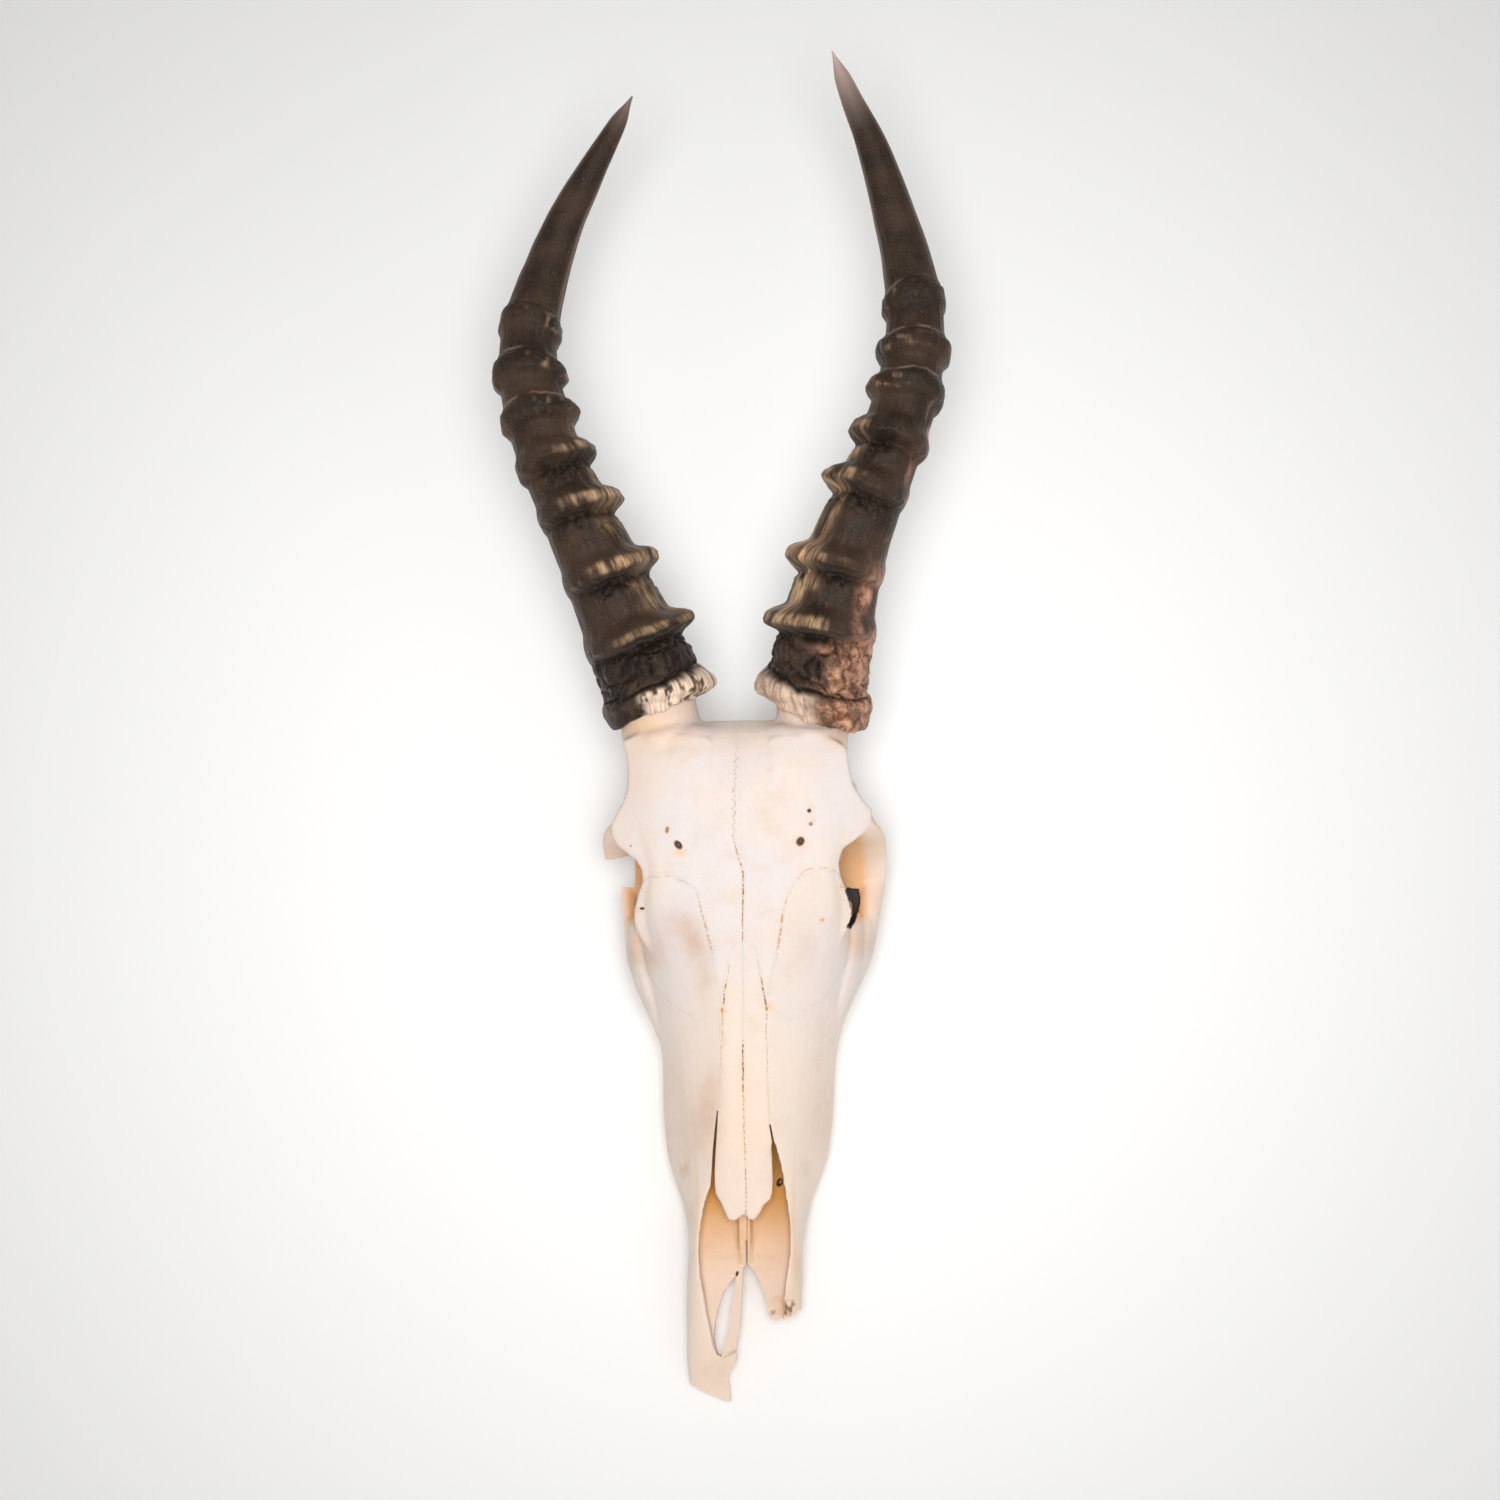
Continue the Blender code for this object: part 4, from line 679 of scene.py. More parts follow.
def part_bones(whole):
    """Parts the skull into its bones by thin cuts, each bone an object of its own."""
    low, high = VOMER_MIDDLE - VOMER_HALF, VOMER_MIDDLE + VOMER_HALF
    front, back = VOMER_REACH
    steps = [
        ("vomer", LEFT, ((low, front), (high, front), (high, back), (low, back)), VOMER_PROFILE),
        ("zygomatic_right_bar", RIGHT, ORBIT_BAR_PLAN, ORBIT_BAR_PROFILE),
    ]
    for side, word in ((LEFT, "left"), (RIGHT, "right")):
        half = half_plan(side, BACK_Y, FRONT_Y, ((SIDE_X, FRONT_Y), (SIDE_X, BACK_Y)))
        nasal = half_plan(side, NASAL_TOP, NASAL_FRONT, NASAL_EDGES[side])
        frontal = half_plan(side, BACK_Y, FRONTAL_FRONT, FRONTAL_PLAN)
        steps += [
            ("nasal_" + word, side, nasal, NASAL_PROFILE),
            ("frontal_" + word, side, frontal, FRONTAL_PROFILE),
            ("lacrimal_" + word, side, [(x * side, y) for x, y in LACRIMAL_PLAN], LACRIMAL_PROFILE),
            ("zygomatic_" + word, side, CHEEK_PLAN[side], CHEEK_PROFILE),
            ("premaxilla_" + word, side, half, PREMAXILLA_PROFILE),
            ("maxilla_" + word, side, half, MAXILLA_PROFILE),
        ]
    bones = []
    for name, side, plan, profile in steps:
        bone = new_object(name, whole.data.copy())
        combine(bone, bone_region("inside", plan, profile, side, -GAP / 2), "INTERSECT")
        combine(whole, bone_region("outside", plan, profile, side, GAP / 2), "DIFFERENCE")
        keep_largest(bone)
        bones.append(bone)
    keep_largest(whole)
    whole.name = "braincase"
    bones.append(whole)
    return bones


# How the skull lies at rest: its turn about X, then its place.
REST_TURN = math.radians(16.76456)
REST_PLACE = (5.8417, -74.2816, 88.7748)
# The width that the photo shows, its middle in the plane of the face, and how the camera stands.
PHOTO_WIDTH = 619.5
PHOTO_MIDDLE = (3.18, 61.95)
CAMERA_YAW, CAMERA_ROLL, CAMERA_AWAY = math.radians(2.0), math.radians(0.85), 5000.0
SENSOR, FARTHEST = 36.0, 100.0
# The floor's half width in metres, its colour and its roughness, then the light of the room.
FLOOR_HALF, FLOOR_COLOUR, FLOOR_ROUGH = 6.0, (0.96, 0.96, 0.955, 1), 0.9
ROOM_COLOUR, ROOM_STRENGTH = (1, 0.99, 0.98, 1), 0.45
# The pool of light: its place from the middle of the photo, watts, softness and opening.
POOL_PLACE, POOL_WATTS, POOL_SOFT, POOL_OPENING = (0.06, -0.62, 2.1), 206, 0.42, math.radians(26.6)
# A weak round lamp from the muzzle's side: its place, watts, size, and what it points at.
SIDE_PLACE, SIDE_WATTS, SIDE_SIZE, SIDE_AIM = (0.8, -1.4, 1.2), 4, 1.2, (0, 0, 0.05)


def to_floor():
    """The step from the frame of the face, in millimetres, to the skull at rest, in metres."""
    return (
        Matrix.Scale(METRES, 4)
        @ Matrix.Translation(REST_PLACE)
        @ Matrix.Rotation(REST_TURN, 4, "X")
    )


def set_camera():
    """A camera that looks squarely down on the face, as in the photo."""
    right = Vector((math.cos(CAMERA_YAW), 0, -math.sin(CAMERA_YAW)))
    back = Vector((math.sin(CAMERA_YAW), 0, math.cos(CAMERA_YAW)))
    up = Vector((0, 1, 0))
    across = right * math.cos(CAMERA_ROLL) - up * math.sin(CAMERA_ROLL)
    over = right * math.sin(CAMERA_ROLL) + up * math.cos(CAMERA_ROLL)
    target = across * PHOTO_MIDDLE[0] + over * PHOTO_MIDDLE[1]
    place = to_floor() @ (target + back * CAMERA_AWAY)
    turn = to_floor().to_3x3().normalized() @ Matrix((across, over, back)).transposed()
    data = bpy.data.cameras.new("camera")
    data.sensor_width = SENSOR
    data.lens = SENSOR * CAMERA_AWAY / PHOTO_WIDTH
    data.clip_end = FARTHEST
    camera = bpy.data.objects.new("camera", data)
    camera.matrix_world = Matrix.Translation(place) @ turn.to_4x4()
    bpy.context.scene.collection.objects.link(camera)
    bpy.context.scene.camera = camera


def add_light(name, kind, place, watts, aim):
    """A lamp at a place that points at another."""
    data = bpy.data.lights.new(name, kind)
    data.energy = watts
    light = bpy.data.objects.new(name, data)
    light.location = place
    light.rotation_mode = "QUATERNION"
    light.rotation_quaternion = (Vector(place) - Vector(aim)).to_track_quat("Z", "Y")
    bpy.context.scene.collection.objects.link(light)
    return data


def set_stage():
    """The pale floor, the even light of the room and the two lamps."""
    bm = bmesh.new()
    bmesh.ops.create_grid(bm, x_segments=1, y_segments=1, size=FLOOR_HALF)
    floor = new_object("floor", bm)
    look = bpy.data.materials.new("pale_floor")
    look.use_nodes = True
    shader = look.node_tree.nodes["Principled BSDF"]
    shader.inputs["Base Color"].default_value = FLOOR_COLOUR
    shader.inputs["Roughness"].default_value = FLOOR_ROUGH
    floor.data.materials.append(look)
    room = bpy.data.worlds.new("studio")
    room.use_nodes = True
    room.node_tree.nodes["Background"].inputs["Color"].default_value = ROOM_COLOUR
    room.node_tree.nodes["Background"].inputs["Strength"].default_value = ROOM_STRENGTH
    bpy.context.scene.world = room
    bpy.context.scene.view_settings.view_transform = "Standard"
    middle = to_floor() @ Vector((*PHOTO_MIDDLE, 0))
    pool = add_light("pool", "SPOT", middle + Vector(POOL_PLACE), POOL_WATTS, middle)
    pool.shadow_soft_size, pool.spot_size, pool.spot_blend = POOL_SOFT, POOL_OPENING, 1.0
    side = add_light("side", "AREA", SIDE_PLACE, SIDE_WATTS, SIDE_AIM)
    side.shape, side.size = "DISK", SIDE_SIZE


# Finishes. The colours are given as they look on a screen, from 0 to 255.
COLOURS = {
    "cool bone": (223, 213, 210), "warm bone": (226, 210, 198), "light bone": (238, 221, 208),
    "tan bone": (224, 198, 174), "rose bone": (206, 174, 152), "orange bone": (236, 184, 128),
    "deep bone": (228, 168, 88), "seam": (206, 152, 104), "dark seam": (112, 68, 48),
    # The two pit colours are painted shade: brown in pits and the spongy end, near black in the cheek's gap.
    "pit": (98, 56, 38), "black pit shade": (44, 38, 36), "speck": (196, 160, 132),
    "enamel": (232, 220, 200), "stained enamel": (200, 170, 134),
    "dark horn": (38, 27, 20), "brown horn": (68, 51, 38), "dusty horn": (96, 70, 54),
    # The darkest horn colour serves both the foot's charred patches and the painted shade in hollows, grooves
    # and cracks.
    "fibre": (104, 78, 62), "fleck": (146, 114, 92), "soot": (22, 14, 10), "darkest_horn": (24, 15, 11),
    "rust": (124, 78, 54), "flesh": (224, 168, 136), "dark straw": (120, 86, 60), "straw": (226, 188, 146),
    # pale horn also paints a highlight on the upper flanks.
    "dark flange": (196, 156, 128), "flange": (250, 226, 204), "pale horn": (176, 144, 124),
    "horn tip": (224, 196, 184),
}
SHEEN_TINT = (1, 0.82, 0.74, 1)
# The sockets for colours on a mix node.
FIRST_COLOUR, SECOND_COLOUR, MIXED_COLOUR = 6, 7, 2


class Finish:
    """A material's nodes, added one after another."""

    def __init__(self, name):
        self.look = bpy.data.materials.new(name)
        self.look.use_nodes = True
        self.tree = self.look.node_tree
        self.shader = self.tree.nodes["Principled BSDF"]

    def add(self, kind, settings=None, **inputs):
        node = self.tree.nodes.new(kind)
        for key, value in (settings or {}).items():
            setattr(node, key, value)
        for key, value in inputs.items():
            self.give(node.inputs[key.replace("_", " ")], value)
        return node

    def give(self, socket, value):
        """Sets a socket to a number, or links it to what another node puts out."""
        if isinstance(value, bpy.types.NodeSocket):
            self.tree.links.new(value, socket)
        else:
            socket.default_value = value

    def place(self):
        """Where a point of the piece is."""
        where = self.add("ShaderNodeTexCoord").outputs["Object"]
        return self.add("ShaderNodeMapping", Vector=where).outputs["Vector"]

    def noise(self, size, detail=3.0, rough=0.55, where=None):
        """Noise with lumps of a size in millimetres."""
        node = self.add("ShaderNodeTexNoise", Vector=where or self.place(), Scale=1 / (size * METRES),
                        Detail=detail, Roughness=rough)
        return node.outputs["Fac"]

    def ramp(self, value, low, high, out_low=0.0, out_high=1.0):
        """A smooth step from one number to another as a value goes from low to high."""
        node = self.add("ShaderNodeMapRange", {"interpolation_type": "SMOOTHSTEP"}, Value=value,
                        From_Min=low, From_Max=high, To_Min=out_low, To_Max=out_high)
        return node.outputs["Result"]

    def maths(self, operation, first, second=0.0):
        node = self.add("ShaderNodeMath", {"operation": operation})
        self.give(node.inputs[0], first)
        self.give(node.inputs[1], second)
        return node.outputs["Value"]

    def blend(self, amount, first, second):
        """The first colour, with so much of the second over it. Colours may go by their names."""
        node = self.add("ShaderNodeMix", {"data_type": "RGBA"})
        self.give(node.inputs["Factor"], amount)
        self.give(node.inputs[FIRST_COLOUR], shade(first))
        self.give(node.inputs[SECOND_COLOUR], shade(second))
        return node.outputs[MIXED_COLOUR]

    def told(self, name):
        """The value that the piece's own attribute of a name has."""
        return self.add("ShaderNodeAttribute", {"attribute_name": name}).outputs["Fac"]

    def joined(self, x, y, z):
        """A vector from three numbers in millimetres, in metres as places are."""
        vector = self.add("ShaderNodeCombineXYZ", X=x, Y=y, Z=z).outputs["Vector"]
        return self.add("ShaderNodeMapping", Vector=vector, Scale=(METRES,) * 3).outputs["Vector"]

    def bump(self, height, distance, under=None):
        """Makes the surface uneven by so many millimetres, over another unevenness if given."""
        node = self.add("ShaderNodeBump", Height=height, Strength=1.0, Distance=distance * METRES)
        if under is not None:
            self.give(node.inputs["Normal"], under)
        return node.outputs["Normal"]


def shade(colour):
    """A colour of the table, by its name, as the renderer wants it. A socket is left as it is."""
    if not isinstance(colour, str):
        return colour
    values = []
    for part in COLOURS[colour]:
        part /= 255
        values.append(part / 12.92 if part < 0.04045 else ((part + 0.055) / 1.055) ** 2.4)
    return (*values, 1)


def bone_finish():
    """Dry bone, with the seams, stains, pits and enamel that each piece's own numbers tell, and painted shade
    in the pits, the spongy end and the cheek's gap.
    """
    f = Finish("dry_bone")
    broad = f.noise(34, detail=4)
    warm = f.noise(11, detail=5, rough=0.62)
    mottled = f.noise(4, detail=5, rough=0.7)
    colour = f.blend(f.ramp(broad, 0.35, 0.65), "cool bone", "warm bone")
    colour = f.blend(f.told("front"), colour, "light bone")
    colour = f.blend(f.ramp(warm, 0.5, 0.78, 0, 0.45), colour, "tan bone")
    for stain, least in (("rose", 0.6), ("orange", 0.75)):
        amount = f.maths("MULTIPLY", f.told(stain), f.ramp(mottled, 0.2, 0.7, least, 1))
        colour = f.blend(amount, colour, stain + " bone")
    colour = f.blend(f.told("deep"), colour, "deep bone")
    enamel = f.blend(f.ramp(f.noise(2.5, detail=4), 0.4, 0.65), "enamel", "stained enamel")
    colour = f.blend(f.told("enamel"), colour, enamel)
    lines = None
    for name, width, soft in (("middle", 0.06, 0.5), ("lacrimal", 0.08, 0.65), ("nasal", 0.08, 0.5)):
        near = f.ramp(f.maths("ABSOLUTE", f.told(name)), width, width + soft, 1, 0)
        broken = f.ramp(f.noise(1.1, detail=2), 0.42, 0.56, 0.1, 1)
        line = f.maths("MULTIPLY", f.maths("MULTIPLY", near, f.told(name + "_shows")), broken)
        lines = line if lines is None else f.maths("MAXIMUM", lines, line)
    colour = f.blend(f.ramp(lines, 0.02, 0.5, 0, 0.9), colour, "seam")
    colour = f.blend(f.ramp(lines, 0.5, 0.95, 0, 0.9), colour, "dark seam")
    # Painted shade: brown in pits and the spongy end, near black on the walls of the cheek's gap.
    colour = f.blend(f.ramp(f.told("hole"), 0, 1), colour, "pit")
    colour = f.blend(f.ramp(f.told("hole"), 1.2, 1.8), colour, "black pit shade")
    specks = f.ramp(f.noise(0.9, detail=1), 0.76, 0.8, 0, 0.5)
    colour = f.blend(f.maths("MULTIPLY", specks, f.ramp(f.noise(22), 0.5, 0.65)), colour, "speck")
    f.give(f.shader.inputs["Base Color"], colour)
    normal = f.bump(f.noise(0.9, detail=4), 0.1)
    normal = f.bump(f.noise(0.45, detail=2), 0.04, under=normal)
    normal = f.bump(f.maths("SUBTRACT", 1.0, lines), 0.1, under=normal)
    f.give(f.shader.inputs["Normal"], normal)
    f.give(f.shader.inputs["Roughness"], f.ramp(warm, 0.3, 0.8, 0.48, 0.66))
    f.shader.inputs["Specular IOR Level"].default_value = 0.35
    f.shader.inputs["Subsurface Weight"].default_value = 0.12
    f.shader.inputs["Subsurface Scale"].default_value = 0.004
    return f.look


def horn_finish():
    """Dark, fibrous horn, with the worn, blackened and pale places that each piece tells, painted shade in
    its hollows, grooves and cracks, and a painted highlight on its flanks.
    """
    f = Finish("horn_keratin")
    fibre = f.joined(f.told("across"), f.told("over"), f.told("along"))
    streaks = f.noise(1.1, detail=4, rough=0.6, where=fibre)
    broad = f.noise(17, detail=5)
    mottled = f.noise(0.9, detail=4, rough=0.7)
    colour = f.blend(f.ramp(broad, 0.35, 0.68), "dark horn", "brown horn")
    # What mottles the plain horn: a noise, where it begins and is full, how strong, the colour.
    for noise, low, high, most, name in (
        (mottled, 0.45, 0.75, 0.5, "dusty horn"),
        (streaks, 0.55, 0.8, 0.3, "fibre"),
        (f.noise(1.6, detail=3), 0.66, 0.76, 0.5, "fleck"),
        (f.noise(2.6, detail=5, rough=0.75), 0.58, 0.74, 0.45, "soot"),
    ):
        colour = f.blend(f.ramp(noise, low, high, 0, most), colour, name)
    scaly = f.noise(4.5, detail=6, rough=0.75)
    # What lies over it, by the number that tells where, from the lowest coat to the uppermost.
    for word, coat in (
        ("pink", f.blend(f.ramp(scaly, 0.38, 0.62), "rust", "flesh")),
        ("straw", f.blend(f.ramp(streaks, 0.32, 0.62), "dark straw", "straw")),
        ("light", f.blend(f.ramp(streaks, 0.3, 0.6), "dark flange", "flange")),
        # The dark coat holds both charred patches and painted shade; the pale coat holds a line over beads
        # and a painted highlight on the flanks.
        ("pale", "pale horn"), ("dark", "darkest_horn"), ("tip", "horn tip"),
    ):
        colour = f.blend(f.told(word), colour, coat)
    f.give(f.shader.inputs["Base Color"], colour)
    normal = f.bump(streaks, 0.35)
    normal = f.bump(f.noise(0.8, detail=3), 0.12, under=normal)
    normal = f.bump(mottled, 0.25, under=normal)
    f.give(f.shader.inputs["Normal"], normal)
    f.give(f.shader.inputs["Roughness"], f.ramp(broad, 0.3, 0.7, 0.42, 0.6))
    f.shader.inputs["Specular IOR Level"].default_value = 0.22
    f.shader.inputs["Sheen Weight"].default_value = 0.1
    f.shader.inputs["Sheen Roughness"].default_value = 0.35
    f.shader.inputs["Sheen Tint"].default_value = SHEEN_TINT
    return f.look


# Shapes in more detail.

# What scatters the noise: a number for each axis, for the seed and for mixing them.
HASH_AXES, HASH_SEED, HASH_MIX, HASH_SHIFT, SIXTEEN_BITS = (
    (73856093, 19349663, 83492791), 2971, 2654435761, 13, 0xFFFF
)
# How far apart the noises of two seeds lie, and how far a cell's middle strays.
SEED_SHIFT, CELL_STRAY = 17.31, 0.42


def scattered(cells, seed=0):
    """A number from -1 to 1 for each cell of a grid, the same each time."""
    spread = cells * HASH_AXES
    mixed_up = spread[:, 0] ^ spread[:, 1] ^ spread[:, 2] ^ (seed * HASH_SEED)
    return ((mixed_up * HASH_MIX) >> HASH_SHIFT & SIXTEEN_BITS) / (SIXTEEN_BITS / 2) - 1


def lumps(points, size, seed=0):
    """Smooth noise from -1 to 1 at points, with lumps of a size."""
    at = points / size + seed * SEED_SHIFT
    low = np.floor(at).astype(np.int64)
    t = at - low
    t = t * t * (3 - 2 * t)
    total = np.zeros(len(points))
    for corner in np.ndindex(2, 2, 2):
        weight = np.prod(np.where(np.array(corner, bool), t, 1 - t), axis=1)
        total += weight * scattered(low + corner)
    return total


def to_border(points, size, seed=0):
    """How far points are from the borders between uneven cells of a size."""
    at = points / size
    low = np.floor(at).astype(np.int64)
    nearest, second = np.full((2, len(points)), np.inf)
    for corner in np.ndindex(3, 3, 3):
        cell = low + np.array(corner) - 1
        middle = cell + 0.5 + CELL_STRAY * np.column_stack([scattered(cell, seed + k) for k in range(3)])
        away = np.linalg.norm(at - middle, axis=1)
        second = np.minimum(second, np.maximum(nearest, away))
        nearest = np.minimum(nearest, away)
    return (second - nearest) * size


def step(values, low, high):
    """0 below one limit and 1 above the other, smoothly in between."""
    t = np.clip((values - low) / (high - low), 0, 1)
    return t * t * (3 - 2 * t)


def hill(values, middle, width, power=2.0):
    """1 where values are at the middle, falling to 0 on both sides, more bluntly with the power."""
    return np.exp(-np.abs((values - middle) / width) ** power)


def spot(points, x, y, wide, high, power=2):
    """1 at a place seen from above, falling to 0 over a width and a height."""
    return np.exp(-(((points[:, 0] - x) / wide) ** power) - ((points[:, 1] - y) / high) ** power)


def rows_of(items, what):
    """The places of a mesh's vertices, or the directions they face, as rows."""
    rows = np.empty(len(items) * 3, np.float32)
    items.foreach_get(what, rows)
    return rows.reshape(-1, 3).astype(float)


def surface(made):
    """The places of a piece's vertices and the directions they face, as rows."""
    return rows_of(made.data.vertices, "co"), rows_of(made.data.vertex_normals, "vector")


def set_points(made, points):
    """Moves a piece's vertices to new places."""
    made.data.vertices.foreach_set("co", points.astype(np.float32).ravel())
    made.data.update()


def tell(made, name, values):
    """Keeps a number for each vertex of a piece, for its finish to read."""
    kept = made.data.attributes.new(name, "FLOAT", "POINT")
    kept.data.foreach_set("value", values.astype(np.float32))


# Lines of the face that show, as X and Y: the lacrimals' upper edges and the nasals' sides.
LACRIMAL_LINE = {
    RIGHT: ((-43, 7), (-37.8, 9.9), (-31, 10.6), (-25.9, 8.4), (-20.8, 6.5), (-18.6, 3.2), (-17.5, -1.2),
            (-16.9, -5.7), (-15.1, -10.9), (-14, -16.9), (-12.6, -22), (-11.3, -27.3), (-9.6, -38)),
    LEFT: ((40.5, 10.5), (35, 12.6), (31.2, 13.2), (26.8, 12.1), (24.5, 10.2), (22.6, 8), (20.8, 5.4),
           (18.8, 0.6), (17.3, -3.1), (16.5, -7.2), (15.9, -11.6), (15.2, -16.9), (11.5, -36)),
}
NASAL_LINE = {
    RIGHT: ((-5.6, -21), (-6, -25), (-6.5, -31), (-7.7, -36.8), (-8.5, -42.8), (-9, -45), (-9.2, -53.9),
            (-9.9, -63.4), (-10.4, -73), (-11, -88)),
    LEFT: ((5.5, -18.3), (6, -28), (7.2, -32.4), (8.15, -36.9), (9.05, -42.8), (9.6, -44.6), (9.15, -50.8),
           (9.1, -66.5), (9.6, -82), (10.4, -94)),
}
# How plainly each line shows at a Y, from 0 to 1.
MIDLINE_SHOWS = (
    (-135, 0.5), (-90, 0.4), (-82, 0.6), (-74, 0.95), (-60, 0.95), (-57, 0.05), (-18, 0.0), (-16, 0.7),
    (-12, 0.45), (-6, 0.7), (0, 0.8), (4, 1.0), (12, 1.0), (18, 0.6), (24, 0.42), (60, 0.36), (68, 0.1),
)
LACRIMAL_SHOWS = ((-38, 0.0), (-22, 0.25), (-16, 0.65), (-9, 0.65), (-4, 0.4), (3, 0.2), (8, 0.26),
                  (14, 0.32))
NASAL_SHOWS = ((-95, 0.0), (-88, 0.15), (-50, 0.35), (-46.5, 0.5), (-45, 0.95), (-36, 0.95), (-30, 0.4),
               (-22, 0.05))
# The zigzag of the midline: how wide and how long its teeth are, and where they begin and end.
ZIGZAG_WIDE, ZIGZAG_LONG, ZIGZAG_BEGINS, ZIGZAG_ENDS = 1.0, 1.9, (19, 30), (-74, -60)
# How far a line's groove is sunk, and its width.
GROOVE_DEPTH, GROOVE_WIDTH = 0.32, 0.75
# How uneven the bone is: how high, how large and the seed of each noise.
UNEVEN = ((0.2, 17, 1), (0.09, 6, 2), (0.045, 2.2, 3))
# Two shallow dents of the muzzle, as X, Y, width and height, and how deep they are.
DENTS, DENT_DEPTH = ((-26, -111.5, 2, 3.5), (24, -111.5, 2, 3.5)), 0.7
# The spongy broken end of the left premaxilla, as X, Y, width and height: its shape, and where painted shade
# darkens its low cells.
SPONGY_SHAPE, SPONGY_SHADE = (14, -169, 6, 5), (14, -170, 6, 4)
SMOOTH_FACTOR, SMOOTH_TIMES = 0.5, 6
# Patches of colour: X, Y, how far each reaches in X and Y, and how strong it is.
ROSE_PATCHES = (
    (-26, -8, 6, 6, 0.5), (-21, -16, 5, 8, 0.8), (-16, -30, 4, 12, 0.5), (-42, -24, 8, 5, 0.5),
    (-36, -18, 7, 9, 0.3), (26, -20, 5, 9, 0.25), (49, -21, 6, 5, 0.45), (-15, -85, 5, 18, 0.55),
    (-22, -95, 8, 14, 0.35), (30, -95, 6, 12, 0.3), (-26, -111, 2, 4, 0.6), (24, -111, 2, 3.5, 0.45),
    (-27, 63, 4, 2, 0.25), (0, 66, 9, 5, 0.35), (-14, -196, 8, 7, 0.35), (-44, 48, 6, 16, 0.3),
)
ORANGE_PATCHES = (
    (-43, 74, 12, 4.5, 0.6), (-24, 82, 8, 7, 0.45), (-34, 68, 18, 6, 0.2), (30, 78, 16, 6, 0.4),
    (41, 67, 7, 5, 0.4), (33.1, -8.7, 1.1, 1.1, 0.9), (41.4, 5, 1.6, 1.6, 0.5), (12.3, 53, 1.5, 1.0, 0.5),
    (-8.8, -44.8, 1.0, 1.5, 0.8), (-9.3, -55, 0.8, 9, 0.35), (9.7, -45, 0.9, 1.3, 0.8),
    (-43.5, -3, 2.2, 1, 0.8), (14, -169, 6, 5, 0.4), (18.6, -150, 1.6, 16, 0.5), (-26, 21, 3, 1.6, 0.7),
    (24.6, 23.7, 3, 3, 0.6), (28.9, 31, 1.3, 1.2, 0.6), (28.2, 36.5, 1.2, 1.1, 0.6),
    (-30.7, 29.5, 1.4, 1.8, 0.7), (0, -90, 11, 48, 0.16), (53, 5, 5, 18, 0.25), (46.5, -17, 4, 7, 0.4),
    (-46, -17, 4, 7, 0.4),
)
# How far the edges of patches stray, with lumps of which size and which seeds.
STRAY, STRAY_SIZE, STRAY_SEEDS = 1.5, 5, (21, 22, 23)
# Small pits: X, Y, half their length and width, depth, and the turn of the length from X in degrees.
PITS = (
    (-26.2, 23.2, 2.3, 1.5, 4, -48), (-30.7, 29.5, 1.5, 0.8, 1.6, 80), (24.4, 23.9, 2.2, 1.8, 3.2, 60),
    (28.2, 36.5, 0.95, 0.9, 2.5, 0), (28.8, 31, 0.9, 0.8, 1.5, 0), (-46, 23, 0.45, 0.4, 1.2, 0),
    (-41.8, -3, 1.1, 0.6, 3, 0), (33.1, -8.7, 0.7, 0.6, 0.8, 0), (41.4, 5, 0.9, 0.8, 0.7, 0),
    (12.6, -118, 1.9, 1.3, 9, 70), (-5.4, -155.4, 1.2, 0.6, 4, 75),
)
# The shares of its size that a pit has at its foot and well above its top.
PIT_NARROW, PIT_WIDE, PIT_SIDES = 0.45, 1.55, 20
# From which depth on a pit's painted shade is as dark as can be.
DARK_DEPTH = 3
# Zones of the bone, each given by limits between which it fades in: on the outer side of an X,
# on its inner side, behind a Y, in front of it, above a Z or below it.
FACING_UP = (("up", -30, -22),)
SOCKET = (("down", 9, 13), ("back", -13, -7), ("front", -37, -30), ("out", 30, 34), ("in", -53, -47.5))
PROCESS = (("out", 45, 48), ("down", 6, 11), ("back", 12, 18))
CHEEK_RING = (("out", 46, 50), ("down", 20, 30), ("back", -20, -5))
MUZZLE = (("front", 15, 75), ("up", -75, -45))
WARM_FRONT = (("front", 30, 90),)
# Where the crowns of the teeth lie: the Y limits, and how far from the middle at most.
TOOTH_ROW = ((-130, -40), 38)
# How far the nose's space reaches from the middle, and from which Y on.
NOSE_HALF, NOSE_FROM = (-21.5, -19.5), (62, 75)
# How deep colour begins in the nose and on the vomer, and how strong it is, then how it fades
# towards the front, as Y and a share. The bones of the face's upper half have none.
NOSE_DEEP, VOMER_DEEP = (11, 17, 1.0), (16, 30, 0.55)
NOSE_FADES = ((-175, 0.1), (-161, 0.16), (-150, 0.3), (-140, 0.52), (-124, 1.0))
UPPER_BONES = ("frontal", "braincase", "lacrimal", "zygomatic")
# What keeps a division by a level edge from failing.
ALMOST_ZERO = 1e-9


def beside(points, line):
    """Distance of points, seen from above, from a line, and more than 0 on its left side."""
    best, sign = np.full(len(points), np.inf), np.ones(len(points))
    for start, end in zip(np.array(line, float), np.array(line[1:], float)):
        along, off = end - start, points[:, :2] - start
        share = np.clip(off @ along / (along @ along), 0, 1)
        away = np.linalg.norm(off - share[:, None] * along, axis=1)
        nearer = away < best
        sign = np.where(nearer, np.sign(along[0] * off[:, 1] - along[1] * off[:, 0]), sign)
        best = np.where(nearer, away, best)
    return best * sign


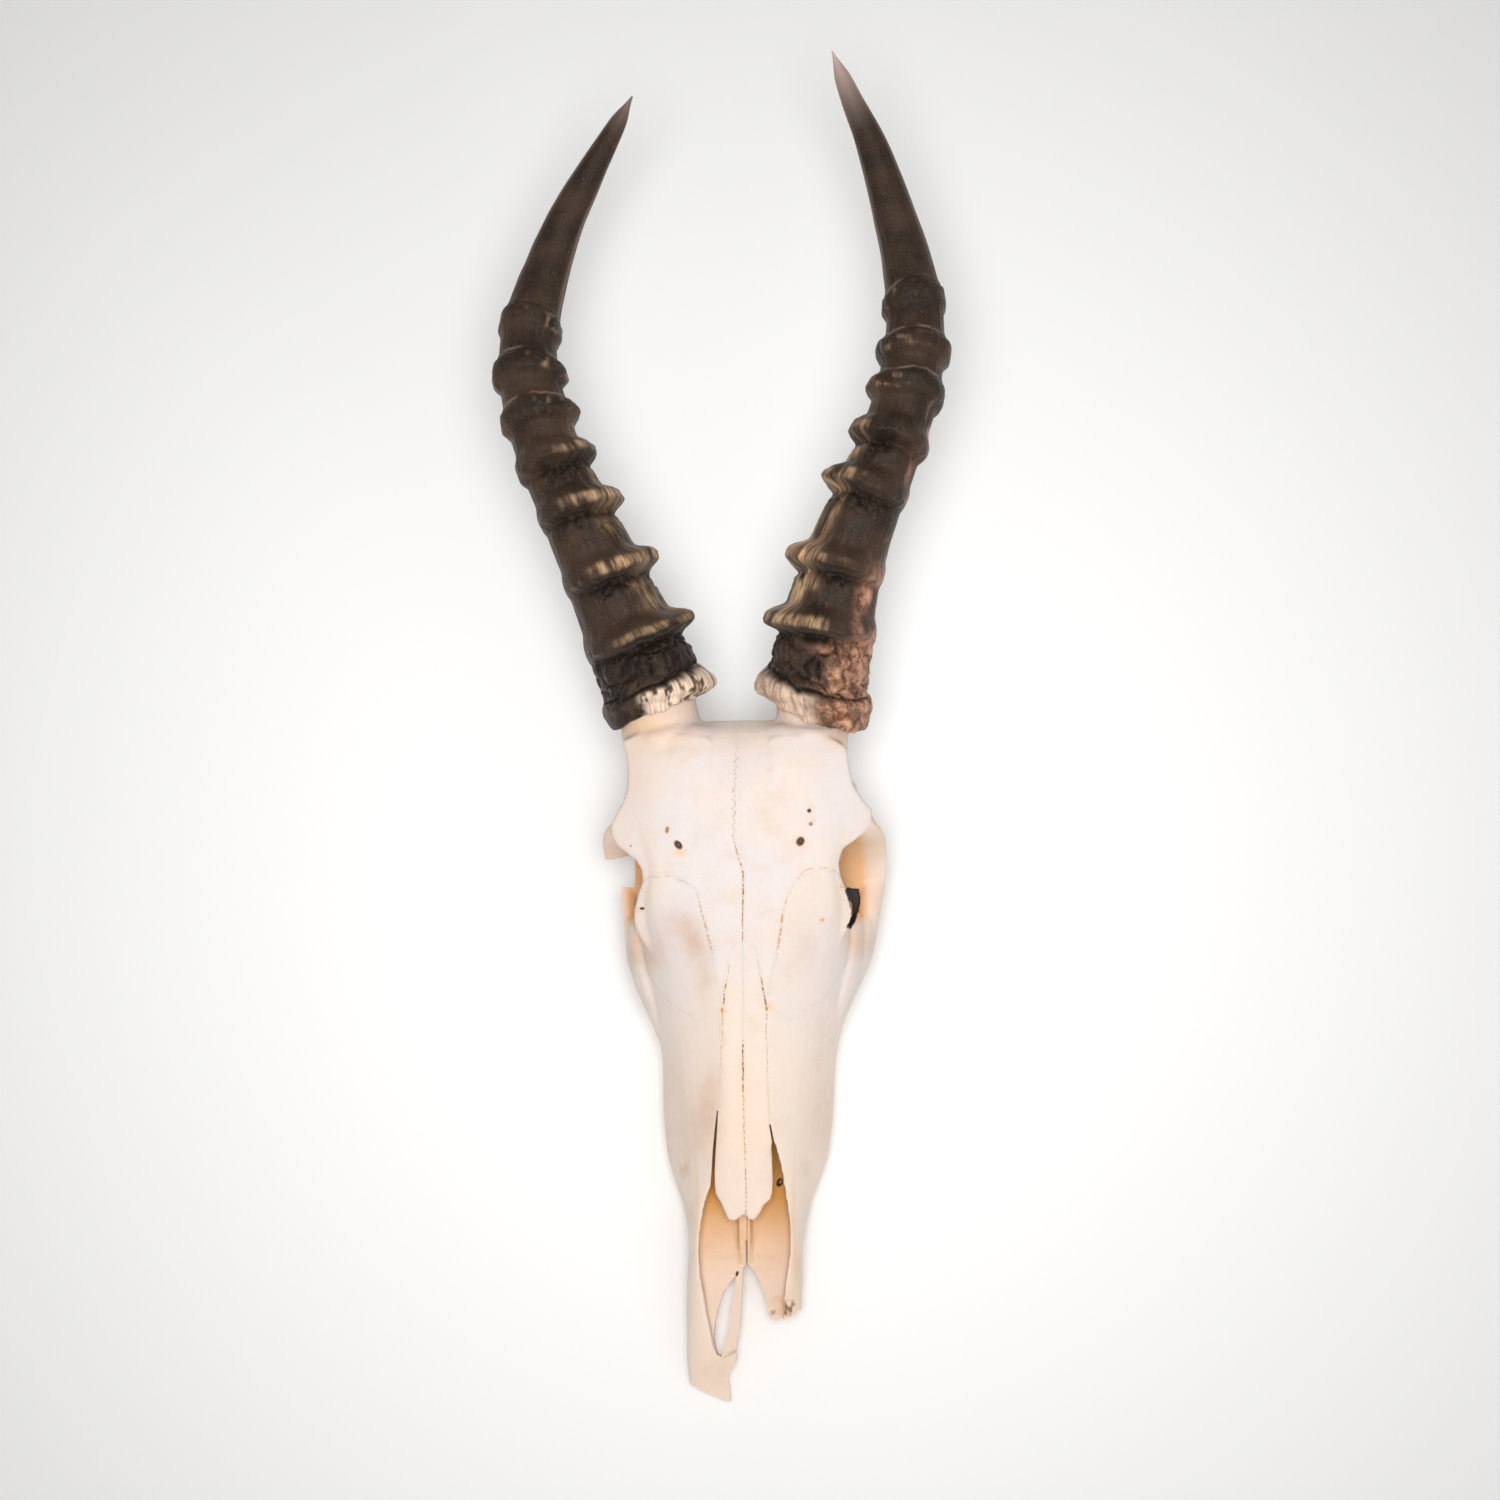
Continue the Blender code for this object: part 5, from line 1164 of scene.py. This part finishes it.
def within(points, outline, margin):
    """Whether points, seen from above, lie inside an outline or nearly so."""
    inside = np.zeros(len(points), bool)
    x, y = points[:, 0], points[:, 1]
    for (x0, y0), (x1, y1) in zip(outline, outline[1:] + outline[:1]):
        crosses = (y0 > y) != (y1 > y)
        inside ^= crosses & (x < (x1 - x0) * (y - y0) / (y1 - y0 + ALMOST_ZERO) + x0)
    return inside | (np.abs(beside(points, outline + outline[:1])) < margin)


def patches(points, table):
    """How strongly patches of colour lie on points, from 0 to 1."""
    total = np.zeros(len(points))
    ragged = points + STRAY * np.column_stack([lumps(points, STRAY_SIZE, seed) for seed in STRAY_SEEDS])
    for x, y, wide, high, strength in table:
        total += strength * spot(ragged, x, y, wide, high)
    return np.clip(total, 0, 1)


def face_lines(points):
    """For each kind of line, by name, how far points are from it and how plainly it shows."""
    across, y = points[:, 0] > 0, points[:, 1]
    tooth_size = ZIGZAG_WIDE * step(y, *ZIGZAG_BEGINS) * step(-y, *ZIGZAG_ENDS)
    zigzag = tooth_size * (np.abs((y / ZIGZAG_LONG) % 2 - 1) * 2 - 1)
    zigzag = zigzag + (0.25 + 0.3 * tooth_size) * lumps(points, 2.0, 31)
    moved = points + np.column_stack([zigzag, 0 * y, 0 * y])
    lines = {"middle": (beside(moved, MIDLINE), looked_up(MIDLINE_SHOWS, y))}
    wobbly = points + 0.35 * np.column_stack([lumps(points, 3, 32), lumps(points, 3, 33), 0 * y])
    for name, pair, shows in (
        ("lacrimal", LACRIMAL_LINE, LACRIMAL_SHOWS), ("nasal", NASAL_LINE, NASAL_SHOWS)
    ):
        away = np.where(across, beside(wobbly, pair[LEFT]), beside(wobbly, pair[RIGHT]))
        lines[name] = (away, looked_up(shows, y))
    return lines


def pit(bone, top, sizes, depth, turn):
    """Sinks a small oval pit, which narrows downwards, into a bone."""
    bm = bmesh.new()
    place = (
        Matrix.Translation(top)
        @ Matrix.Rotation(math.radians(turn), 4, "Z")
        @ Matrix.Diagonal((*sizes, 1, 1))
    )
    bmesh.ops.create_cone(
        bm, cap_ends=True, segments=PIT_SIDES, radius1=PIT_NARROW, radius2=PIT_WIDE, depth=depth * 2,
        matrix=place
    )
    combine(bone, new_object("pit", bm), "DIFFERENCE")


def skull_in_detail():
    """The whole skull again, from the same forms, on a finer skin, with its grooves, dents and breaks."""
    whole = merged("skull", solid_forms(), FINE)
    for form in hollow_forms():
        combine(whole, form, "DIFFERENCE")
    whole = merged("skull", [whole] + thin_forms(), FINE)
    applied(whole, "SMOOTH", factor=SMOOTH_FACTOR, iterations=SMOOTH_TIMES)
    keep_largest(whole)
    points, normals = surface(whole)
    rough = sum(height * lumps(points, size, seed) for height, size, seed in UNEVEN)
    on_top = step(normals[:, 2], 0.2, 0.6) * step(points[:, 2], -26, -18)
    for away, shows in face_lines(points).values():
        rough -= GROOVE_DEPTH * on_top * shows * np.exp(-((away / GROOVE_WIDTH) ** 2))
    for dent in DENTS:
        rough -= DENT_DEPTH * on_top * spot(points, *dent)
    rough += spot(points, *SPONGY_SHAPE, 4) * (0.9 * lumps(points, 1.9, 4) + 0.4 * lumps(points, 1.0, 5))
    set_points(whole, points + normals * rough[:, None])
    for outline, low, high in BREAKS:
        combine(whole, prism("break", outline, low, high), "DIFFERENCE")
    return whole


def sink_pits(bones):
    """Sinks each small pit into the bone that lies on top where the pit is."""
    for x, y, long, wide, depth, turn in PITS:
        start, down = Vector((x, y, ABOVE_ALL)), Vector((0, 0, -1))
        hits = [(bone.ray_cast(start, down), bone) for bone in bones]
        found = [(hit[1].z, bone) for hit, bone in hits if hit[0]]
        if found:
            top, bone = max(found, key=lambda pair: pair[0])
            pit(bone, (x, y, top), (long, wide), depth, turn)


def zone(points, limits):
    """How far points lie in a zone of the bone, from 0 to 1."""
    x, y, z = points.T
    values = {"out": np.abs(x), "in": -np.abs(x), "back": y, "front": -y, "up": z, "down": -z}
    inside = np.ones(len(points))
    for word, low, high in limits:
        inside *= step(values[word], low, high)
    return inside


def dress_bone(bone, node):
    """Gives a bone the numbers from which its finish takes stains, lines, depths and painted shade."""
    points, normals = surface(bone)
    x, y, z = points.T
    on_top = step(normals[:, 2], 0.1, 0.5) * zone(points, FACING_UP)
    for name, (away, shows) in face_lines(points).items():
        tell(bone, name, np.clip(away, -6, 6))
        tell(bone, name + "_shows", shows * on_top)
    low, high, strength = VOMER_DEEP if node == "vomer" else NOSE_DEEP
    strength = 0.0 if node.startswith(UPPER_BONES) else strength
    inside = step(-np.abs(x - looked_up(HEAD_BEND, y)), *NOSE_HALF) * step(-y, *NOSE_FROM)
    tell(bone, "deep", inside * step(-z, low, high) * looked_up(NOSE_FADES, y) * strength)
    ring, process = zone(points, CHEEK_RING), zone(points, PROCESS)
    stained = patches(points, ORANGE_PATCHES) + 0.08 * zone(points, WARM_FRONT)
    if node == "vomer":
        stained += 0.5
    stained = np.maximum(np.maximum(stained, 0.3 * process), 0.95 * zone(points, SOCKET))
    tell(bone, "orange", np.clip(stained, 0, 1))
    tell(bone, "front", np.maximum(0.85 * zone(points, MUZZLE), 0.8 * np.maximum(ring, process)))
    tell(bone, "rose", np.clip(patches(points, ROSE_PATCHES) + 0.12 * ring, 0, 1))
    tell(bone, "hole", painted_hole_shade(points, normals))
    gum = np.array([bite_z(v) for v in y]) + CROWN_HEIGHT - 2.5
    (front, back), half = TOOTH_ROW
    crown = step(gum - z, -0.8, 0.8) * ((y > front) & (y < back) & (np.abs(x) < half))
    tell(bone, "enamel", crown if node.startswith("maxilla") else 0 * crown)


def painted_hole_shade(points, normals):
    """How much painted shade points take: in the gap of the cheek, in a pit by its depth, or in the low cells
    of the spongy end: 1 brown, 2 black.
    """
    x, y, z = points.T
    # Painted shade: the walls of the cheek's gap are made near black.
    hole = 2.0 * (within(points, CHEEK_GAP, 0.25) & ((z < -20) | (np.abs(normals[:, 2]) < 0.5)))
    # Painted shade: each pit is darkened inside its outline, more the deeper it is.
    for px, py, long, wide, depth, turn in PITS:
        a = math.radians(turn)
        along = ((x - px) * math.cos(a) + (y - py) * math.sin(a)) / long
        off = ((y - py) * math.cos(a) - (x - px) * math.sin(a)) / wide
        hole = np.maximum(hole, min(depth / DARK_DEPTH, 1) * step(-np.hypot(along, off), -0.9, -0.5))
    # Painted shade: the low cells of the spongy end are darkened.
    cells = step(-lumps(points, 1.9, 4) - 0.4 * lumps(points, 1.0, 5), 0.05, 0.5)
    return np.maximum(hole, 0.75 * spot(points, *SPONGY_SHADE, 4) * cells)


# How many points go round a sheath, how far apart its rings of points are, and how far apart
# the noises of the two horns lie.
HORN_ROUND, HORN_STEP, HORN_APART = 160, 0.58, 40.0
# Half a knob's width above and below its crest, and how blunt it is.
KNOB_ABOVE, KNOB_BELOW, KNOB_POWER = 5.6, 4.0, 3.4
# The rings with a fibrous crest and a dark hollow below, by number, then the beaded ones.
FIBROUS, BEADED = (1, 2, 3, 4), (5, 6, 7)
# How far round from the inner side the straw colour of each fibrous crest begins and is full.
STRAW_REACH = {
    RIGHT: ((-0.1, 0.5), (0.0, 0.55), (0.1, 0.6), (0.3, 0.8)),
    LEFT: ((0.25, 0.7), (0.3, 0.75), (0.4, 0.8), (0.7, 1.0)),
}
# How plainly each of them shows its straw colour, and how wide the coloured band is.
STRAW_SHOWS = {RIGHT: (0.4, 0.9, 0.75, 0.6), LEFT: (0.8, 0.55, 0.75, 0.6)}
STRAW_WIDTH = {RIGHT: (1.5, 2.6, 2.4, 2.0), LEFT: (2.4, 1.8, 2.4, 2.0)}
# Cracks between flakes: the flakes' size, seed and share of length along the horn, how far their
# borders wander with lumps of which size and seed, and the width of a crack.
TORN_CRACKS = (5.5, 7, 0.9, 1.2, 3, 65, 0.5)
FOOT_CRACKS = (9, 3, 0.8, 1.4, 4, 8, 0.75)
# How far up the sheath the crack round its foot runs.
CRACK_HEIGHT = 13
# Of each side: how straw-coloured the neck is and how charred the foot is.
NECK_STRAW, CHARRED = {RIGHT: 0.5, LEFT: 0.95}, {RIGHT: 0.75, LEFT: 0.15}
# How much the light flange looks to the other horn and to the front, and where it fades in.
FLANGE_FACES = {RIGHT: (0.7, 0.6, 0.35, 0.6), LEFT: (0.8, 0.35, 0.25, 0.55)}
FLANGE_STRIPES, FLANGE_LIGHT = {RIGHT: 0.9, LEFT: 0.35}, {RIGHT: 1.0, LEFT: 0.75}
# How reddish the outer edge is, then how pale the tip is and from which place on.
EDGE_PINK = {RIGHT: 0.25, LEFT: 0.85}
PALE_TIP = {RIGHT: (0.35, 0.93), LEFT: (0.9, 0.87)}


class Sheath:
    """A horn's sheath as rings of points: how far each stands out, and what colours it.

    A point has its height up the horn, its share of the side next to the other horn and of the
    front, and its place on the sheath, at which the noises are taken.
    """

    def __init__(self, side):
        self.side = side
        places, points = horn_axis(side)
        self.length = float(np.linalg.norm(np.diff(points, axis=0), axis=1).sum())
        self.at = np.linspace(0, 1, int(self.length / HORN_STEP) + 1)
        frames = np.array([horn_frame(points, i) for i in range(len(points))])
        self.middle, self.along, self.inward, self.forward = (
            np.column_stack([np.interp(self.at, places, rows[:, k]) for k in range(3)])[:, None, :]
            for rows in (points, frames[:, 0], frames[:, 1], frames[:, 2])
        )
        turn = np.arange(HORN_ROUND) * math.tau / HORN_ROUND
        self.inner, self.front = np.tile(np.cos(turn), len(self.at)), np.tile(np.sin(turn), len(self.at))
        self.up = np.repeat(self.at * self.length, HORN_ROUND)
        self.share = self.up / self.length
        self.wide = np.repeat([mixed(HORN_RADII, place) for place in self.at], HORN_ROUND)
        self.place = np.column_stack([self.wide * self.inner, self.wide * self.front, self.up])
        self.place = self.place + HORN_APART * side
        self.rise = np.zeros(len(self.up))
        colours = ("straw", "dark", "pink", "light", "pale", "tip")
        self.told = {word: np.zeros(len(self.up)) for word in colours}
        self.fibre = self.lumps(1.5, 1, 0.07) + 0.5 * self.lumps(0.8, 2, 0.12)
        self.facing = step(0.75 * self.inner + 0.66 * self.front, -0.25, 0.75)

    def lumps(self, size, seed, along=1):
        """Noise at the points, with along for how fast it changes up the horn."""
        return lumps(self.place * (1, 1, along), size, seed)

    def cracks(self, size, seed, along, wander, wander_size, wander_seed, width):
        """1 on the borders between uneven flakes, falling to 0 beside them."""
        wandered = self.place * (1, 1, along) + wander * self.lumps(wander_size, wander_seed)[:, None]
        return np.exp(-to_border(wandered, size, seed) / width)

    def tint(self, word, strength):
        """Makes a colour at least so strong."""
        self.told[word] = np.maximum(self.told[word], strength)

    def raise_ring(self, number):
        """Raises a ring, and says how far above its crest each point is."""
        on_inner, on_front, on_outer, on_back = RING_CRESTS[number]
        crest = np.where(self.inner > 0, on_inner, on_outer) * self.inner**2
        crest = crest + np.where(self.front > 0, on_front, on_back) * self.front**2
        away = self.up - RING_PLACES[self.side][number] * self.length
        away = away - RING_RISE * self.front + RING_DROP * np.maximum(self.inner, 0)
        away += 0.9 * self.lumps(8, number, 0) + 0.45 * self.lumps(2.5, number, 0)
        knob = hill(away, 0, np.where(away > 0, KNOB_ABOVE, KNOB_BELOW), KNOB_POWER)
        self.rise += crest * (1 + 0.15 * self.lumps(5, number) + 0.08 * self.lumps(2.2, number)) * knob
        return away

    def tear_crest(self, order, away, torn, torn_cracks):
        """Gives a ring a lip of straw-coloured fibres, with a torn hollow below it; the hollow and the torn,
        cracked zone under the crest are darkened as painted shade.
        """
        self.rise += step(self.front, 0.1, 0.8) * (0.6 * hill(away, -0.8, 1.5) - 1.7 * hill(away, -5.0, 1.8))
        reach = step(0.85 * self.inner + 0.35 * self.front + 0.25 * self.lumps(6, 51),
                     *STRAW_REACH[self.side][order])
        ragged = step(self.fibre + 0.9 * self.lumps(4.5, 52), -0.9, 0.5)
        band = hill(away, 0.6, STRAW_WIDTH[self.side][order], 4) * reach * ragged
        self.tint("straw", STRAW_SHOWS[self.side][order] * band)
        hollow = self.facing * hill(away + 1.6 * torn, -6.0, 3.6) * step(torn, -0.9, 0.2)
        self.rise -= hollow
        rugged = self.facing * hill(away, -8, 5.5, 4) * step(torn, -0.7, 0.5)
        self.rise -= rugged * (1.3 * torn_cracks + 0.5 * self.lumps(1.8, 64))
        # Painted shade: the torn zone under the crest, most in its cracks, and the hollow are darkened.
        self.tint("dark", rugged * np.maximum(0.9 * torn_cracks, 0.35))
        self.tint("dark", 0.85 * hollow)

    def bead_crest(self, away):
        """Gives a ring a fine bead above it, with a pale line, and flecks of straw; the groove above the bead
        is darkened as painted shade, with a darker band over the crest.
        """
        self.rise += 0.25 * hill(away, 3.6, 0.7) - 0.5 * hill(away, 4.7, 0.6)
        # Painted shade in the groove above the bead, and a darker band over the crest.
        self.tint("dark", np.maximum(0.5 * hill(away, 4.7, 0.6), 0.4 * hill(away, 1.5, 2.6)))
        self.tint("pale", 0.6 * hill(away, 5.8, 0.5) * step(self.lumps(5, 41), -0.6, 0.4))
        flecks = hill(away, 0.5, 3.2, 4) * step(self.lumps(2.4, 66) + 0.4 * self.fibre, 0.1, 0.7)
        self.tint("straw", 0.45 * flecks * step(0.6 * self.inner - 0.5, -1.0, 0))

    def wear_foot(self):
        """Cracks the foot of the sheath into flakes, above a flange that is light in places; the cracks are
        darkened as painted shade, beside dark patches that are the horn's own colour.
        """
        side, up = self.side, self.up
        top = -RING_PLACES[side][1]
        foot = step(-self.share, top - 0.005, top + 0.02)
        crack_line = CRACK_HEIGHT + 1.6 * self.lumps(5, 5, 0) + 0.7 * self.lumps(1.8, 6)
        crack = hill(up, crack_line, 0.7) * step(self.front + 0.6 * self.inner, -0.9, -0.3)
        cracks = self.cracks(*FOOT_CRACKS) * foot * step(up, 9, 14) * step(self.lumps(7, 18), -0.8, -0.2)
        flange = step(-up, -crack_line, -crack_line + 3)
        self.rise -= 2.1 * crack + 1.9 * cracks
        self.rise += foot * step(up, 10, 16) * (0.8 * self.lumps(4.5, 9) + 0.5 * self.lumps(1.9, 19))
        darkest_horn = foot * step(self.lumps(6, 56) + 0.5 * self.lumps(2, 57), -0.7, 0.3) * CHARRED[side]
        # The charred patches are the horn's own colour; darkening the cracks is painted shade.
        for strength in (darkest_horn, crack, 0.9 * cracks):
            self.tint("dark", strength)
        to_inner, to_front, low, high = FLANGE_FACES[side]
        patch = flange * step(to_inner * self.inner + to_front * self.front, low, high)
        thin = np.abs(self.lumps(2.4, 12, 0.1) + 0.3 * self.lumps(2, 58))
        stripes = 1 - FLANGE_STRIPES[side] * step(-thin, -0.2, -0.06)
        self.told["light"] = patch * stripes * FLANGE_LIGHT[side]
        self.rise += 0.5 * self.told["light"]
        if side == LEFT:
            scaly = foot * step(-self.inner + 0.45 * self.lumps(7, 13), -0.35, 0.3)
            scaly = np.maximum(scaly, 0.9 * flange) * step(self.front, -0.6, 0)
            flesh = step(self.lumps(3.5, 14) + 0.4 * self.lumps(1.5, 59), -0.5, 0.3)
            self.tint("pink", scaly * (0.35 + 0.6 * flesh))
            self.rise += 0.3 * scaly * self.lumps(1.4, 15)

    def wear_length(self):
        """Colours the neck, the outer edge and the tip, paints a highlight on the flanks, and raises the
        fibres.
        """
        side, up, inner, share = self.side, self.up, self.inner, self.share
        neck = step(inner + 0.2 * self.lumps(7, 61), 0.45, 0.9)
        neck *= step(up, 30, 45) * step(-share, -0.5, -0.36)
        broken = step(0.5 * self.fibre + self.lumps(6, 55), -0.6, 0.5)
        self.tint("straw", NECK_STRAW[side] * neck * step(self.front, -0.5, 0.1) * broken)
        edge = step(-inner, 0.72, 0.95) * step(self.lumps(9, 60) + 0.3 * self.fibre, -0.1, 0.6)
        edge *= step(up, 25, 40)
        if side == LEFT:
            low_edge = step(-inner, 0.3, 0.75) * step(self.lumps(6, 62), -0.6, 0.3) * step(-up, -80, -50)
            edge = np.maximum(edge, low_edge)
        self.tint("pink", EDGE_PINK[side] * edge * step(-share, -0.62, -0.4))
        # Painted highlight: the flanks of the upper horn are made paler, as a rim of light.
        flank = step(np.abs(inner), 0.78, 0.98) * step(self.fibre, -1.2, 0.8) * step(share, 0.5, 0.7)
        self.tint("pale", 0.35 * flank)
        self.told["dark"] *= 1 - 0.9 * self.told["light"]
        how_pale, pale_from = PALE_TIP[side]
        self.told["tip"] = np.clip((share - pale_from) / (1 - pale_from), 0, 1) ** 1.6 * how_pale
        plain = step(-self.at, -0.97, -0.6).repeat(HORN_ROUND)
        fibres = 0.16 * self.fibre * (0.6 + self.facing) + 0.2 * self.lumps(3.4, 63, 0.5)
        self.rise += fibres * plain
        self.rise -= 1.6 * np.exp(-up / 1.6)

    def made(self):
        """The sheath as a piece, with its ragged rim lifted and its socket cut."""
        shape = (len(self.at), HORN_ROUND)
        all_round, inner_rise, front_rise = RIM[self.side]
        lift = np.maximum(1 - self.share / RIM_LENGTH, 0)
        lift = lift * (all_round + inner_rise * self.inner + front_rise * self.front)
        lift += np.exp(-self.up / 6) * (1.1 * self.lumps(4.5, 16, 0) + 0.6 * self.lumps(1.6, 17, 0))
        inner, front, reach, lift = (
            values.reshape(shape)[:, :, None]
            for values in (self.inner, self.front, self.wide + self.rise, lift)
        )
        out = (self.inward * inner + self.forward * front) * reach
        for word, axis, scale in (("across", 0, 1), ("over", 1, 1), ("along", 2, 0.08)):
            self.told[word] = self.place[:, axis] * scale
        told = {word: values.reshape(shape) for word, values in self.told.items()}
        horn = skin("horn", self.middle + out + self.along * lift, told)
        combine(horn, pedicel(self.side, SOCKET_ROOM, SOCKET_DEPTH + SOCKET_ROOM), "DIFFERENCE")
        return horn


def worn_horn(side):
    """A horn sheath with fine rings, fibres along it, cracks at its foot and a ragged rim."""
    sheath = Sheath(side)
    torn = sheath.lumps(5.5, 53) + 0.6 * sheath.lumps(2.2, 54)
    torn_cracks = sheath.cracks(*TORN_CRACKS)
    for number in range(len(RING_CRESTS)):
        away = sheath.raise_ring(number)
        if number in FIBROUS:
            sheath.tear_crest(FIBROUS.index(number), away, torn, torn_cracks)
        elif number in BEADED:
            sheath.bead_crest(away)
    sheath.wear_foot()
    sheath.wear_length()
    return sheath.made()


def settle(piece, node, finish):
    """Lays a piece on the floor with the CAD node that it stands for."""
    piece.name = node + "_look"
    piece.data.name = piece.name
    piece.data.transform(to_floor())
    piece.data.materials.clear()
    piece.data.materials.append(finish)
    piece.data.shade_smooth()
    piece.data.set_sharp_from_angle(angle=SHARP_EDGE)
    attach(piece, "root")
    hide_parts(node)


def main():
    """Builds the whole scene."""
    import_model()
    set_camera()
    set_stage()
    bone_look, horn_look = bone_finish(), horn_finish()
    whole = skull_in_detail()
    bones = part_bones(whole)
    sink_pits(bones)
    for bone in bones:
        node = bone.name.split(".")[0]
        dress_bone(bone, node)
        settle(bone, node, bone_look)
    for side, node in ((LEFT, "horn_left"), (RIGHT, "horn_right")):
        settle(worn_horn(side), node, horn_look)


main()
